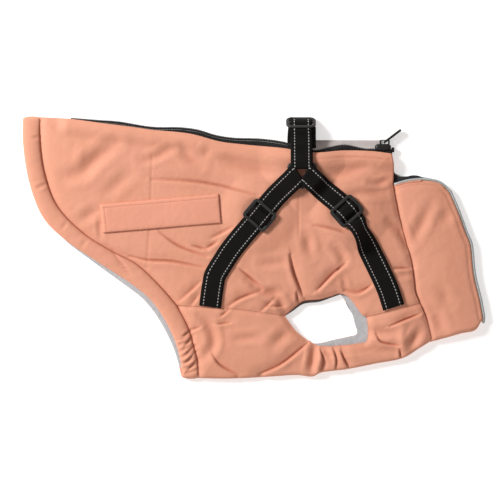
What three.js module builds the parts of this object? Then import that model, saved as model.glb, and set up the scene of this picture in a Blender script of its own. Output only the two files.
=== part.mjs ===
// A dog's winter coat with a built-in harness, lying flat on its side.
// Millimetres. x runs from the tail edge to the collar, y from the belly fold to the back, and z up
// from the surface that the coat lies on. The near layers lie on the far ones.

import * as THREE from "three";
import { mergeVertices } from "three/addons/utils/BufferGeometryUtils.js";

// Driving dimensions
const LENGTH = 421.3;
const HEIGHT = 239.5;
const WEBBING_WIDTH = 20;
const WEBBING = 1;
const SEAM_GAP = 0.45;

// Levels of the layers, from the surface up
const FAR_WALL = 2.2;
const FACING_LOW = 2.5;
const FACING = 1;
const NEAR_LOW = 3.8;
const NEAR_WALL = 3.2;
const PUFF = 4.2;
const PUFF_REACH = 20;
const PUFF_UNDER = 0.55;
const FOLD_REACH = 3.5;
const THINNEST = 1.1;

// The near layer's free edges and its belly seam: how far each is rounded down, and over what reach
const FREE_EDGE = { drop: 1.5, reach: 3 };
const SUNK_SEAM = { drop: 0.9, reach: 4 };

// Cloth raised over what lies under it
const STRAP_LIFT = 1.7;
const STRAP_FADE = [15, 30];
const HARDWARE_LIFT = 5.3;
const HARDWARE_FADE = [18, 50];
const ZIP_ROOM = 3;
const ZIP_ROOM_FADE = [7, 18];
const ZIP_START = [30, 42];

// Heights of the harness over the cloth
const STRAP_OVER = 1.25;
const PLATE_LOW = 1.9;
const RING_THICK = 2;
const GLIDE_THICK = 1.8;
const OVER_RING = 4.7;
const OVER_GLIDE = 4.5;

// Outlines, each row a point x, y
const BACK_EDGE = [
  [15.6, 238.6], [44.4, 236.7], [70.5, 233.2], [117.5, 226.9], [151.9, 223.4], [180.1, 216.1],
  [201, 213.5], [234.2, 210.3], [264.6, 205.9], [291.7, 208], [317.8, 207.4], [335.5, 205.3],
];
const NECK_EDGE = [[335.5, 205.3], [337.2, 194], [337, 177.9]];
const COLLAR_SEAM_SIDE = [
  [337, 177.9], [341.9, 151.8], [347.1, 130.9], [353.5, 108.4], [355.8, 91.1], [357.2, 79], [361.4, 68.9],
];
const COLLAR_SEAM_BELLY = [[361.4, 68.9], [368, 53.4], [371.6, 37.8]];
const CASING_SEAM_SIDE = [
  [15.6, 238.6], [15.6, 219.2], [19.3, 189.9], [30.8, 158.6], [55.8, 132.5], [81.7, 116.2],
  [103.7, 104.6], [125.8, 83.7], [140.5, 66.6],
];
const CASING_SEAM_BELLY = [[140.5, 66.6], [150.2, 47.8], [155.9, 28.1], [158.8, 16.5], [159.7, 4.2]];
const HEM_NEAR = [
  [0.2, 235], [0.5, 212.9], [6.7, 176.3], [19.3, 146.1], [38.1, 127.3], [63.1, 110.1],
  [99.1, 86.6], [115.4, 73.3], [126.9, 58.2], [136.2, 40.8], [142, 24.6], [145.8, 4.6],
];
const HEM_FAR = [
  [0.2, 235], [0.5, 212.9], [6.7, 176.3], [19.3, 146.1], [38, 126.8], [61.8, 108.6],
  [96.3, 83.6], [108.6, 74], [120, 60.6], [131.6, 41], [139.6, 22], [143.8, 4.6],
];
const SEAM_REAR_NEAR = [[140.5, 66.6], [181.4, 64.8], [206.9, 62.1], [238.4, 57.7]];
const SEAM_FRONT_NEAR = [[313.2, 56.6], [328.1, 60.2], [346.9, 65.1], [361.4, 68.9]];
const SEAM_REAR_FAR = [[140.5, 66.6], [181.4, 64.8], [206.9, 62.1], [230, 59.8]];
const SEAM_FRONT_FAR = [[301, 57.5], [328.1, 60.2], [346.9, 65.1], [361.4, 68.9]];
const LEG_TOP_NEAR = [
  [238.4, 57.7], [255.2, 68.5], [270, 70.5], [288.7, 77.4], [294.5, 76], [301.5, 69], [309.3, 58.2],
  [313.2, 56.6],
];
const LEG_LOW_NEAR = [
  [238.4, 57.7], [249.2, 43.4], [256.2, 37.5], [270, 30.1], [285.7, 30.1], [306, 32.2], [312.3, 33.6],
  [314.3, 41.5], [313.2, 56.6],
];
const LEG_TOP_FAR = [
  [230, 59.8], [240, 66.5], [256, 72], [272, 75], [287, 78.6], [293.6, 72], [299.5, 61.2], [301, 57.5],
];
const LEG_LOW_FAR = [
  [230, 59.8], [236, 50], [246, 39], [257, 33.4], [268, 32.1], [283.8, 35.5], [295.6, 38],
  [304.6, 41], [302.5, 51.3], [301, 57.5],
];
const BELLY_EDGE = [
  [159.7, 0.7], [184.9, 0.3], [226.6, 2.2], [250.3, 3.5], [271, 5.5], [295.6, 8.9], [320.2, 13.8],
  [346.9, 19.3], [361.4, 28.1], [371.6, 34.3],
];
const COLLAR_TOP_NEAR = [[337.8, 178.6], [352.9, 182.5], [368.5, 183.1], [380.7, 180.3], [390.6, 171.5]];
const COLLAR_TOP_FAR = [[338.2, 188], [347, 185], [358.2, 185.2], [380.7, 180.3], [390.6, 171.5]];
const COLLAR_EDGE = [
  [390.6, 171.5], [398.1, 154.2], [405.6, 133.8], [409.7, 124], [413, 95.4], [418.5, 72.4], [421.3, 57],
];
const THROAT_EDGE = [[371.6, 38.3], [384.4, 41.6], [399.7, 45.8], [412, 48.6], [418, 57]];
const ZIP_EDGE = [
  [44.2, 238.2], [70.5, 236.2], [86.2, 235.1], [117.5, 230.2], [143.6, 229.7], [159.3, 227.6],
  [174.9, 222.9], [190.5, 220.3], [216.6, 219.3], [239.6, 215.7], [254, 210.5], [266.9, 208.6],
  [279.6, 211.6], [293, 213.8], [312.1, 210.3], [319.6, 210.3],
];

// Troughs and ridges of the near layer: the line x, y of each, its half width and its depth
const FOLDS = [
  { line: [[38, 188], [52, 190], [61, 200], [81, 216]], half: 7, depth: 2.2 },
  { line: [[105, 198], [121, 202], [136, 211]], half: 6, depth: 1.4 },
  { line: [[77, 171], [93, 188]], half: 6, depth: 0.9 },
  { line: [[119, 180], [156, 180], [180, 176], [214, 167]], half: 5, depth: 1.5 },
  { line: [[146, 211], [150, 203], [162, 195]], half: 5, depth: 1.3 },
  { line: [[185, 198], [206, 192], [234, 188]], half: 6, depth: 1.8 },
  { line: [[167, 120], [176, 126]], half: 5, depth: 1.2 },
  { line: [[171, 128], [192, 139]], half: 5, depth: 1.2 },
  { line: [[81, 117], [96, 97]], half: 5, depth: 1.8 },
  { line: [[94, 111], [127, 108], [160, 105]], half: 6, depth: 1.3 },
  { line: [[135, 77], [151, 85], [161, 91]], half: 6, depth: 1.4 },
  { line: [[189, 67], [214, 80]], half: 6, depth: 1.5 },
  { line: [[197, 97], [216, 85]], half: 6, depth: 1.2 },
  { line: [[265, 139], [281, 137], [300, 131]], half: 6, depth: 1.5 },
  { line: [[242, 112], [246, 98], [253, 78]], half: 6, depth: 2 },
  { line: [[269, 82], [282, 97], [292, 105]], half: 6, depth: 2 },
  { line: [[294, 110], [289, 116], [281, 120]], half: 5, depth: 1.3 },
  { line: [[294, 78], [305, 80], [316, 86]], half: 6, depth: 1.9 },
  { line: [[298, 169], [328, 170]], half: 5, depth: 1.3 },
  { line: [[331, 144], [340, 134], [345, 121]], half: 5, depth: 1.4 },
  { line: [[337, 101], [353, 101]], half: 5, depth: 1.1 },
  { line: [[217, 81], [230, 78], [240, 62]], half: 5, depth: 1.3 },
  { line: [[357, 137], [366, 154], [374, 161]], half: 6, depth: 1.2 },
  { line: [[374, 60], [382, 43]], half: 5, depth: 1.1 },
  { line: [[259, 30], [263, 14]], half: 4, depth: 1.3 },
  { line: [[276, 27], [270, 9]], half: 4, depth: 1.4 },
  { line: [[289, 25], [296, 12]], half: 4, depth: 1.3 },
  { line: [[213, 6], [232, 12], [251, 26], [258, 33]], half: 5, depth: 1.9 },
  { line: [[174, 25], [194, 10]], half: 6, depth: 1.5 },
  { line: [[165, 58], [173, 34], [161, 18]], half: 6, depth: 1.2 },
  { line: [[314, 46], [343, 41]], half: 5, depth: 1.3 },
  { line: [[322, 33], [342, 27]], half: 5, depth: 1.2 },
];

// The pocket flap's corners, from the top rear round to the low rear
const FLAP = { topRear: [70.4, 159], topFront: [178.5, 168.6], lowFront: [180.6, 142], lowRear: [73.3, 132.9] };
const FLAP_THICK = 1.6;

// The harness: routes x, y of the strap middles from the ring down, and where the tri-glides sit
const RING = { outer: [[238.9, 194.9], [254.2, 171], [268.5, 194.9]], middle: [254.2, 185], bar: 4.4, round: 5, windowTop: 190.5 };
const PLATE_REACH = 13;
const STRAPS = [
  {
    name: "strap_rear_near", far: false, glide: 0.307, hook: { edge: [250.2, 185.7], inward: [0.84, 0.54] },
    route: [[244.8, 180.6], [230, 166.2], [216, 149.4], [189.6, 118.9], [175.1, 94.5], [170.6, 66]],
  },
  {
    name: "strap_front_near", far: false, glide: 0.298, hook: { edge: [257.5, 185.7], inward: [-0.86, 0.51] },
    route: [
      [263.6, 180.4], [276.2, 169.2], [286.2, 160.9], [293.8, 153.4], [300, 145.6], [305.4, 136.4], [313.5, 120.4],
      [331.4, 83], [337.2, 65.5],
    ],
  },
  {
    name: "strap_rear_far", far: true, glide: 0.307, hook: { edge: [250.2, 185.7], inward: [0.84, 0.54] },
    route: [[244.8, 180.6], [229, 166.2], [214, 149.4], [186, 118.9], [171, 94.5], [165.5, 66.5]],
  },
  {
    name: "strap_front_far", far: true, glide: 0.294, hook: { edge: [257.5, 185.7], inward: [-0.86, 0.51] },
    route: [
      [263.6, 180.4], [276.8, 170], [288, 161.6], [296.4, 153.6], [303.6, 145], [310, 135], [320.6, 120.6],
      [341, 83], [347, 65.7],
    ],
  },
];
const GLIDE = { width: 26, length: 21, bar: 2.8, rail: 2.3, round: 4 };
const TOP_SLIDER = { x: 253.2, y: 233.4, z: 7.9, tilt: THREE.MathUtils.degToRad(54), width: 27.3, length: 17, round: 6 };

// The zip
const TAPE = { thick: 1, farLow: 2.7, nearLow: 4.7, under: 4, start: 44.6, end: 335.4, steps: 44 };
const ZIP_END_HEIGHT = 209.4;
const COIL = { across: 3, z: 4.2 };
const ZIP_SLIDER = { x0: 320.6, x1: 335.4, lip: 207.6, plateLow: 210.8, plateHigh: 214, z0: 0.9, z1: 7.4, flange: 1.5 };
const ZIP_MIDDLE = (ZIP_SLIDER.z0 + ZIP_SLIDER.z1) / 2;
const SLIDER_ROUND = 0.6;
const BRIDGE = { x: 329.6, reach: 4.6, foot: 1.5, high: 218, beam: 0.8, width: 2.1 };
const PULL = {
  y: 215.8, length: 18.4, width: 5.4, thick: 1.8, arm: 1.3, eye: 5.2, bar: 0.65, corner: 1.6,
  angle: THREE.MathUtils.degToRad(37.3),
};
const STOP = { x: [335.8, 338.4], y: [206.6, 211], z: [2.9, 5.6] };
const GUARD = { x0: 268, x1: 319.8, top: 217.9, thick: 1, root: 0.6, rootLow: 1.2, tipLow: 0.05, steps: 14 };

// The collar
const PIPING = 3;
const COLLAR = { farShell: 2, farLining: 3.3, nearLining: 3.6, nearLiningTop: 4.6, nearShell: 4.9, puff: 3.4 };

const palette = {
  shell: new THREE.MeshStandardMaterial({ color: 0xf3af96, roughness: 0.62, metalness: 0 }),
  flap: new THREE.MeshStandardMaterial({ color: 0xf4a58c, roughness: 0.6, metalness: 0 }),
  lining: new THREE.MeshStandardMaterial({ color: 0xb4b8ba, roughness: 0.95, metalness: 0 }),
  fleece: new THREE.MeshStandardMaterial({ color: 0x17181a, roughness: 0.95, metalness: 0 }),
  webbing: new THREE.MeshStandardMaterial({ color: 0x181412, roughness: 0.8, metalness: 0 }),
  plastic: new THREE.MeshStandardMaterial({ color: 0x2b2a28, roughness: 0.45, metalness: 0 }),
  metal: new THREE.MeshStandardMaterial({ color: 0x1c1c1c, roughness: 0.4, metalness: 0.7 }),
  piping: new THREE.MeshStandardMaterial({ color: 0xa5a8ac, roughness: 0.4, metalness: 0.2 }),
  guard: new THREE.MeshStandardMaterial({ color: 0xc0b8b5, roughness: 0.8, metalness: 0 }),
};

const coat = new THREE.Group();
coat.position.set(-LENGTH / 2, -HEIGHT / 2, 0);

// Adds one named piece to the coat.
function piece(name, geometry, material) {
  const mesh = new THREE.Mesh(geometry, material);
  mesh.name = name;
  coat.add(mesh);
  return mesh;
}

// Lines and distances

// A smooth line through the rows of an outline.
function smoothLine(table) {
  const points = table.map(([x, y]) => new THREE.Vector3(x, y, 0));
  return new THREE.CatmullRomCurve3(points, false, "centripetal");
}

// Evenly spaced points along an outline.
function along(table, steps) {
  return smoothLine(table).getSpacedPoints(steps);
}

// Several runs of points joined end to end, the shared corner points held once.
function joined(...runs) {
  return runs.flatMap((run, k) => (k === 0 ? run : run.slice(1)));
}

function reversed(table) {
  return [...table].reverse();
}

// Distance from x, y to a run of points, and how far along the run the nearest point lies, from 0 to 1.
function nearest(run, x, y) {
  let best = { distance: Infinity, along: 0 };
  for (let k = 0; k + 1 < run.length; k += 1) {
    const [ax, ay] = [run[k].x, run[k].y];
    const [dx, dy] = [run[k + 1].x - ax, run[k + 1].y - ay];
    const t = THREE.MathUtils.clamp(((x - ax) * dx + (y - ay) * dy) / (dx * dx + dy * dy), 0, 1);
    const distance = Math.hypot(x - ax - t * dx, y - ay - t * dy);
    if (distance < best.distance) best = { distance, along: (k + t) / (run.length - 1) };
  }
  return best;
}

// 1 up to the distance from, falling smoothly to 0 at the distance to.
function fade(distance, from, to) {
  return 1 - THREE.MathUtils.smoothstep(distance, from, to);
}

// The greater of two heights, with a rounded join.
function smoothMax(a, b) {
  const round = 0.25;
  return (a + b + Math.sqrt((a - b) ** 2 + round)) / 2;
}

// Heights of the cloth

const backLine = along(BACK_EDGE, 60);
const nearLegHole = joined(along(LEG_TOP_NEAR, 24), reversed(along(LEG_LOW_NEAR, 24)));
const outline = joined(
  backLine, along(NECK_EDGE, 6), along(COLLAR_SEAM_SIDE, 16), along(COLLAR_SEAM_BELLY, 6),
  reversed(along(BELLY_EDGE, 30)), reversed(along(CASING_SEAM_BELLY, 10)), reversed(along(CASING_SEAM_SIDE, 30)),
);
const bellySeam = along([...SEAM_REAR_NEAR, ...SEAM_FRONT_NEAR], 24);
const foldLines = FOLDS.map((fold) => ({ ...fold, run: along(fold.line, 14) }));
const strapRuns = (far) => STRAPS.filter((strap) => strap.far === far).map((strap) => along(strap.route, 24));
const riserRun = [new THREE.Vector3(253.6, 184, 0), new THREE.Vector3(253.6, 210, 0)];
const nearStraps = [...strapRuns(false), riserRun];
const farStraps = [...strapRuns(true), riserRun];
const farHardware = [
  new THREE.Vector2(254.2, 187),
  ...STRAPS.filter((strap) => strap.far).map((strap) => {
    const p = smoothLine(strap.route).getPointAt(strap.glide);
    return new THREE.Vector2(p.x, p.y);
  }),
];

// How far the far layer is raised over the harness that it lies on.
function lift(x, y) {
  const strap = Math.min(...farStraps.map((run) => nearest(run, x, y).distance));
  const hardware = Math.min(...farHardware.map((p) => Math.hypot(p.x - x, p.y - y)));
  return Math.max(STRAP_LIFT * fade(strap, ...STRAP_FADE), HARDWARE_LIFT * fade(hardware, ...HARDWARE_FADE));
}

// Room between the layers for the zip, along the back from where the zip starts.
function zipRoom(x, y) {
  const { distance } = nearest(backLine, x, y);
  return ZIP_ROOM * fade(distance, ...ZIP_ROOM_FADE) * THREE.MathUtils.smoothstep(x, ...ZIP_START);
}

function puff(x, y) {
  const edge = Math.min(nearest(outline, x, y).distance, nearest(nearLegHole, x, y).distance);
  return PUFF * (1 - Math.exp(-edge / PUFF_REACH));
}

// The troughs of the near layer, flattened where the harness presses on it.
function folds(x, y) {
  let sum = 0;
  for (const { run, half, depth } of foldLines) {
    const { distance, along: t } = nearest(run, x, y);
    const ends = 0.4 + 0.6 * Math.sin(Math.PI * t);
    sum -= depth * ends * Math.exp(-((distance / half) ** 2));
    sum += 0.45 * depth * ends * Math.exp(-(((distance - 2 * half) / half) ** 2));
  }
  const strap = Math.min(...nearStraps.map((run) => nearest(run, x, y).distance));
  return sum * (1 - 0.85 * fade(strap, 10, 20));
}

function nearInner(x, y) {
  return NEAR_LOW + smoothMax(PUFF_UNDER * puff(x, y), lift(x, y)) + zipRoom(x, y);
}

function nearOuter(x, y) {
  const free = Math.min(nearest(backLine, x, y).distance, nearest(nearLegHole, x, y).distance);
  const seam = nearest(bellySeam, x, y).distance;
  const dropped = ({ drop, reach }, distance) => drop * Math.exp(-((distance / reach) ** 2));
  const rounding = dropped(FREE_EDGE, free) + dropped(SUNK_SEAM, seam);
  const body = nearInner(x, y) + NEAR_WALL + (1 - PUFF_UNDER) * puff(x, y);
  return Math.max(body + folds(x, y) - rounding, nearInner(x, y) + THINNEST);
}

function farInner(x, y) {
  return lift(x, y) + FAR_WALL;
}

// Walls of cloth

function fractions(points) {
  const sums = [0];
  for (let k = 1; k < points.length; k += 1) sums.push(sums[k - 1] + points[k].distanceTo(points[k - 1]));
  return sums.map((sum) => sum / sums.at(-1));
}

// A net of points x, y between four edges, u along the low and high edges and v from low to high. Edges
// named in seams are drawn back by the seam gap.
function net({ low, high, left, right, seams }) {
  const [us, vs] = [[fractions(low), fractions(high)], [fractions(left), fractions(right)]]
    .map(([a, b]) => a.map((value, k) => (value + b[k]) / 2));
  const points = us.map((u, i) => vs.map((v, j) => {
    const mix = (a, b, t) => a.clone().lerp(b, t);
    const corners = mix(mix(low[0], low.at(-1), u), mix(high[0], high.at(-1), u), v);
    return mix(low[i], high[i], v).add(mix(left[j], right[j], u)).sub(corners);
  }));
  const [nu, nv] = [us.length - 1, vs.length - 1];
  const drawBack = (p, q) => p.add(q.clone().sub(p).setLength(SEAM_GAP));
  for (let i = 0; i <= nu; i += 1) {
    if (seams.includes("low")) drawBack(points[i][0], points[i][1]);
    if (seams.includes("high")) drawBack(points[i][nv], points[i][nv - 1]);
  }
  for (let j = 0; j <= nv; j += 1) {
    if (seams.includes("left")) drawBack(points[0][j], points[1][j]);
    if (seams.includes("right")) drawBack(points[nu][j], points[nu - 1][j]);
  }
  return points;
}

function raised(points, height) {
  return points.map((line) => line.map((p) => new THREE.Vector3(p.x, p.y, height(p.x, p.y))));
}

// A closed geometry from points and triangles, turned to face outwards.
function closed(positions, triangles) {
  let volume = 0;
  const [a, b, c] = [new THREE.Vector3(), new THREE.Vector3(), new THREE.Vector3()];
  for (const [i, j, k] of triangles) {
    volume += a.copy(positions[i]).dot(b.copy(positions[j]).cross(c.copy(positions[k])));
  }
  const index = triangles.flatMap(([i, j, k]) => (volume > 0 ? [i, j, k] : [i, k, j]));
  const geometry = new THREE.BufferGeometry().setFromPoints(positions);
  geometry.setIndex(index);
  geometry.computeVertexNormals();
  return geometry;
}

// A wall between an outer and an inner net. The inner face may be coarser, with one point for every step.
function wall(outer, inner, step = 1) {
  const [nu, nv] = [outer.length - 1, outer[0].length - 1];
  const positions = [];
  const triangles = [];
  const outerIds = outer.map((line) => line.map((p) => positions.push(p) - 1));
  const innerIds = inner.map((line, i) => line.map((p, j) => (
    i % step === 0 && j % step === 0 ? positions.push(p) - 1 : -1)));
  const face = (ids, i, j, s, flip) => {
    const [a, b, c, d] = [ids[i][j], ids[i + s][j], ids[i + s][j + s], ids[i][j + s]];
    const halves = (i / s + j / s) % 2 === 0 ? [[a, b, c], [a, c, d]] : [[a, b, d], [b, c, d]];
    for (const [p, q, r] of halves) triangles.push(flip ? [p, r, q] : [p, q, r]);
  };
  for (let i = 0; i < nu; i += 1) for (let j = 0; j < nv; j += 1) face(outerIds, i, j, 1, false);
  for (let i = 0; i < nu; i += step) for (let j = 0; j < nv; j += step) face(innerIds, i, j, step, true);
  const rim = [];
  for (let i = 0; i < nu; i += 1) rim.push([i, 0]);
  for (let j = 0; j < nv; j += 1) rim.push([nu, j]);
  for (let i = nu; i > 0; i -= 1) rim.push([i, nv]);
  for (let j = nv; j > 0; j -= 1) rim.push([0, j]);
  rim.push([0, 0]);
  for (let k = 0; k + step < rim.length; k += step) {
    const run = rim.slice(k, k + step + 1).map(([i, j]) => outerIds[i][j]);
    const [start, end] = [rim[k], rim[k + step]].map(([i, j]) => innerIds[i][j]);
    triangles.push([run[0], start, run[1]], [run[1], start, end]);
    if (step === 2) triangles.push([run[1], end, run[2]]);
  }
  return closed(positions, triangles);
}

// A net that lies near, turns round a fold at its low edge and lies far. Each layer's first line is its
// fold edge, and sag gives how far the fold reaches past it. The result runs from the near top to the far top.
function folded(near, far, turns, sag) {
  return near.map((line, i) => {
    const [top, bottom] = [line[0], far[i][0]];
    const arc = [];
    for (let k = 1; k < turns; k += 1) {
      const angle = (Math.PI * k) / turns;
      const middle = top.clone().add(bottom).multiplyScalar(0.5);
      const reach = top.clone().sub(bottom).multiplyScalar(0.5 * Math.cos(angle));
      arc.push(middle.add(reach).add(new THREE.Vector3(0, -sag * Math.sin(angle), 0)));
    }
    return [...[...line].reverse(), ...arc, ...far[i]];
  });
}

// Coat panels

function sideNet(rearSeam, legTop, frontSeam, [rear, leg, front], rise) {
  return net({
    low: joined(along(rearSeam, rear), along(legTop, leg), along(frontSeam, front)),
    high: along(BACK_EDGE, rear + leg + front),
    left: along(reversed(CASING_SEAM_SIDE), rise),
    right: joined(
      along(reversed(COLLAR_SEAM_SIDE), Math.round(rise * 0.8)),
      along(reversed(NECK_EDGE), rise - Math.round(rise * 0.8)),
    ),
    seams: ["low", "left", "right"],
  });
}

const sideNear = sideNet(SEAM_REAR_NEAR, LEG_TOP_NEAR, SEAM_FRONT_NEAR, [18, 20, 12], 24);
piece("side_panel_near", wall(raised(sideNear, nearOuter), raised(sideNear, nearInner), 2), palette.shell);

const sideFar = sideNet(SEAM_REAR_FAR, LEG_TOP_FAR, SEAM_FRONT_FAR, [12, 12, 10], 16);
const farEdge = (x, y) => lift(x, y) + 0.8 * Math.exp(-((nearest(backLine, x, y).distance / 3) ** 2));
piece("side_panel_far", wall(raised(sideFar, farEdge), raised(sideFar, farInner)), palette.shell);

function bellyNet(rearSeam, legLow, frontSeam, [rear, leg, front], rise) {
  return net({
    low: along(BELLY_EDGE, rear + leg + front).map((p) => p.setY(p.y + FOLD_REACH)),
    high: joined(along(rearSeam, rear), along(legLow, leg), along(frontSeam, front)),
    left: along(reversed(CASING_SEAM_BELLY), rise),
    right: along(reversed(COLLAR_SEAM_BELLY), rise),
    seams: ["high", "left", "right"],
  });
}

const bellyNear = bellyNet(SEAM_REAR_NEAR, LEG_LOW_NEAR, SEAM_FRONT_NEAR, [12, 16, 6], 8);
const bellyFar = bellyNet(SEAM_REAR_FAR, LEG_LOW_FAR, SEAM_FRONT_FAR, [12, 16, 6], 6);
const bellyOuter = folded(raised(bellyNear, nearOuter), raised(bellyFar, () => 0), 4, FOLD_REACH);
const bellyInner = folded(raised(bellyNear, nearInner), raised(bellyFar, () => FAR_WALL), 4, 1);
piece("belly_panel", wall(bellyOuter, bellyInner, 2), palette.shell);

// Grey fleece round the far leg hole, flat on the far layer.
function flatSheet(rim, hole, low, thick) {
  const shape = new THREE.Shape(rim.map((p) => new THREE.Vector2(p.x, p.y)));
  if (hole) shape.holes.push(new THREE.Path(hole.map((p) => new THREE.Vector2(p.x, p.y))));
  const geometry = new THREE.ExtrudeGeometry(shape, { depth: thick, bevelEnabled: false });
  geometry.translate(0, 0, low);
  return geometry;
}
const liningRim = new THREE.EllipseCurve(270, 54, 50, 35).getPoints(40).slice(0, -1);
const farLegHole = joined(along(LEG_LOW_FAR, 16), reversed(along(LEG_TOP_FAR, 14))).slice(0, -1);
piece("leg_lining", flatSheet(liningRim, farLegHole, FACING_LOW, FACING), palette.lining);

// Rear hem casing: a closed band with a round padded section, gathered by its elastic near the belly.
const CASING = { near: 54, far: 18, turns: 4, nearMid: 5.2, farMid: 1.1, nearRise: 4, gathers: 7, gatherFrom: 0.74 };
const CASING_SECTION = [
  { across: -1, rise: 0 }, { across: -0.86, rise: 0.66 }, { across: -0.45, rise: 0.95 }, { across: 0, rise: 1 },
  { across: 0.45, rise: 0.92 }, { across: 0.86, rise: 0.6 }, { across: 1, rise: 0 }, { across: 0.86, rise: -1 },
  { across: -0.86, rise: -1 },
];

function casingGeometry() {
  const seam = [...CASING_SEAM_SIDE.slice(0, -1), ...CASING_SEAM_BELLY].map(([x, y]) => [x, Math.min(y, 235.2)]);
  const sections = [];
  const add = (outer, inner, mid, out, angle, rise, under) => {
    const across = inner.clone().sub(outer).multiplyScalar(0.5);
    const reach = across.length() - SEAM_GAP / 2;
    const centre = outer.clone().add(inner).multiplyScalar(0.5);
    centre.z = mid;
    const normal = new THREE.Vector3(0, out * Math.sin(angle), Math.cos(angle));
    sections.push(CASING_SECTION.map((corner) => centre.clone()
      .addScaledVector(across.clone().setLength(reach), corner.across)
      .addScaledVector(normal, corner.rise > 0 ? corner.rise * rise : corner.rise * under)));
  };
  const [nearOut, nearIn] = [along(HEM_NEAR, CASING.near), along(seam, CASING.near)];
  const [farOut, farIn] = [along(HEM_FAR, CASING.far), along(seam, CASING.far)];
  const middle = (CASING.nearMid + CASING.farMid) / 2;
  const radius = (CASING.nearMid - CASING.farMid) / 2;
  nearOut.forEach((outer, k) => {
    const t = k / CASING.near;
    const gather = Math.max(0, (t - CASING.gatherFrom) / (1 - CASING.gatherFrom));
    const wave = gather > 0 ? 0.8 * Math.sin(2 * Math.PI * CASING.gathers * gather) * Math.sin(Math.PI * gather) : 0;
    const ends = Math.min(1, 0.6 + 8 * Math.min(t, 1 - t));
    add(outer, nearIn[k], CASING.nearMid, 0, 0, CASING.nearRise * ends + wave, 1.4);
  });
  const turn = (near, far, out) => {
    for (let k = 1; k < CASING.turns; k += 1) {
      const t = k / CASING.turns;
      const angle = Math.PI * (out < 0 ? t : 1 - t);
      const shift = new THREE.Vector3(0, out * radius * Math.sin(angle), 0);
      const [outer, inner] = [0, 1].map((e) => near[e].clone().lerp(far[e], angle / Math.PI).add(shift));
      add(outer, inner, middle + radius * Math.cos(angle), out, angle, 2.2, 1.2);
    }
  };
  turn([nearOut.at(-1), nearIn.at(-1)], [farOut.at(-1), farIn.at(-1)], -1);
  for (let k = CASING.far; k >= 0; k -= 1) add(farOut[k], farIn[k], CASING.farMid, 0, Math.PI, 1.1, 1.1);
  turn([nearOut[0], nearIn[0]], [farOut[0], farIn[0]], 1);
  const positions = sections.flat();
  const ring = CASING_SECTION.length;
  const triangles = sections.flatMap((section, s) => section.flatMap((_, c) => {
    const [a, b] = [s * ring + c, s * ring + ((c + 1) % ring)];
    const next = ((s + 1) % sections.length) * ring;
    const [d, e] = [next + c, next + ((c + 1) % ring)];
    return [[a, b, e], [a, e, d]];
  }));
  return closed(positions, triangles);
}
piece("hem_casing", casingGeometry(), palette.shell);

// Grey inner face of the far hem, which shows past the near one along the lower rear edge.
const FACING_RUN = { from: 0.42, to: 0.985, width: 11, inset: 0.8, steps: 26 };
function hemFacingRim() {
  const line = smoothLine(HEM_FAR);
  const [outer, inner] = [[], []];
  for (let k = 0; k <= FACING_RUN.steps; k += 1) {
    const t = THREE.MathUtils.lerp(FACING_RUN.from, FACING_RUN.to, k / FACING_RUN.steps);
    const tangent = line.getTangentAt(t);
    const inward = new THREE.Vector3(-tangent.y, tangent.x, 0);
    outer.push(line.getPointAt(t).addScaledVector(inward, FACING_RUN.inset));
    inner.push(line.getPointAt(t).addScaledVector(inward, FACING_RUN.width));
  }
  return [...outer, ...inner.reverse()];
}
piece("hem_facing", flatSheet(hemFacingRim(), null, FACING_LOW, FACING), palette.lining);

// Pocket flap: the points of the near panel moved out.
function flapNet(across, rise) {
  const corner = ([x, y]) => new THREE.Vector3(x, y, 0);
  const edge = (a, b, steps) => new THREE.LineCurve3(corner(a), corner(b)).getSpacedPoints(steps);
  return net({
    low: edge(FLAP.lowRear, FLAP.lowFront, across),
    high: edge(FLAP.topRear, FLAP.topFront, across),
    left: edge(FLAP.lowRear, FLAP.topRear, rise),
    right: edge(FLAP.lowFront, FLAP.topFront, rise),
    seams: [],
  });
}
const flap = flapNet(16, 4);
const flapLow = (x, y) => nearOuter(x, y) + 0.5;
piece("pocket_flap", wall(raised(flap, (x, y) => flapLow(x, y) + FLAP_THICK), raised(flap, flapLow)), palette.flap);

// Collar

// A run of points moved to its right-hand side.
function inset(run, distance) {
  return run.map((p, k) => {
    const tangent = (run[k + 1] ?? p).clone().sub(run[k - 1] ?? p).normalize();
    return new THREE.Vector3(p.x + tangent.y * distance, p.y - tangent.x * distance, 0);
  });
}

function collarNet(top, across, rise) {
  const edge = inset(joined(along(top, across), along(COLLAR_EDGE, rise)), PIPING + 0.35);
  const right = edge.slice(across).reverse();
  const seam = along(reversed([...COLLAR_SEAM_SIDE.slice(0, -1), ...COLLAR_SEAM_BELLY]), rise);
  return net({
    low: [...along(THROAT_EDGE, across).slice(0, -1), right[0]],
    high: edge.slice(0, across + 1),
    left: [...seam.slice(0, -1), edge[0]],
    right,
    seams: ["left"],
  });
}

function collarPuff(x, y) {
  const seam = nearest(along([...COLLAR_SEAM_SIDE, ...COLLAR_SEAM_BELLY.slice(1)], 20), x, y).distance;
  const edge = nearest(along(COLLAR_EDGE, 20), x, y).distance;
  return COLLAR.puff * (1 - Math.exp(-Math.min(seam, edge) / 12));
}

const collarNear = collarNet(COLLAR_TOP_NEAR, 10, 14);
const collarFar = collarNet(COLLAR_TOP_FAR, 10, 6);
const collarTopHeight = (x, y) => COLLAR.nearShell + 2 + collarPuff(x, y) + folds(x, y);
const collarShellOuter = folded(raised(collarNear, collarTopHeight), raised(collarFar, () => 0), 4, 4);
const nearShellLow = (x, y) => COLLAR.nearShell + 0.3 * collarPuff(x, y);
const collarShellInner = folded(raised(collarNear, nearShellLow), raised(collarFar, () => COLLAR.farShell), 4, 2);
piece("collar_shell", wall(collarShellOuter, collarShellInner), palette.shell);

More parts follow.
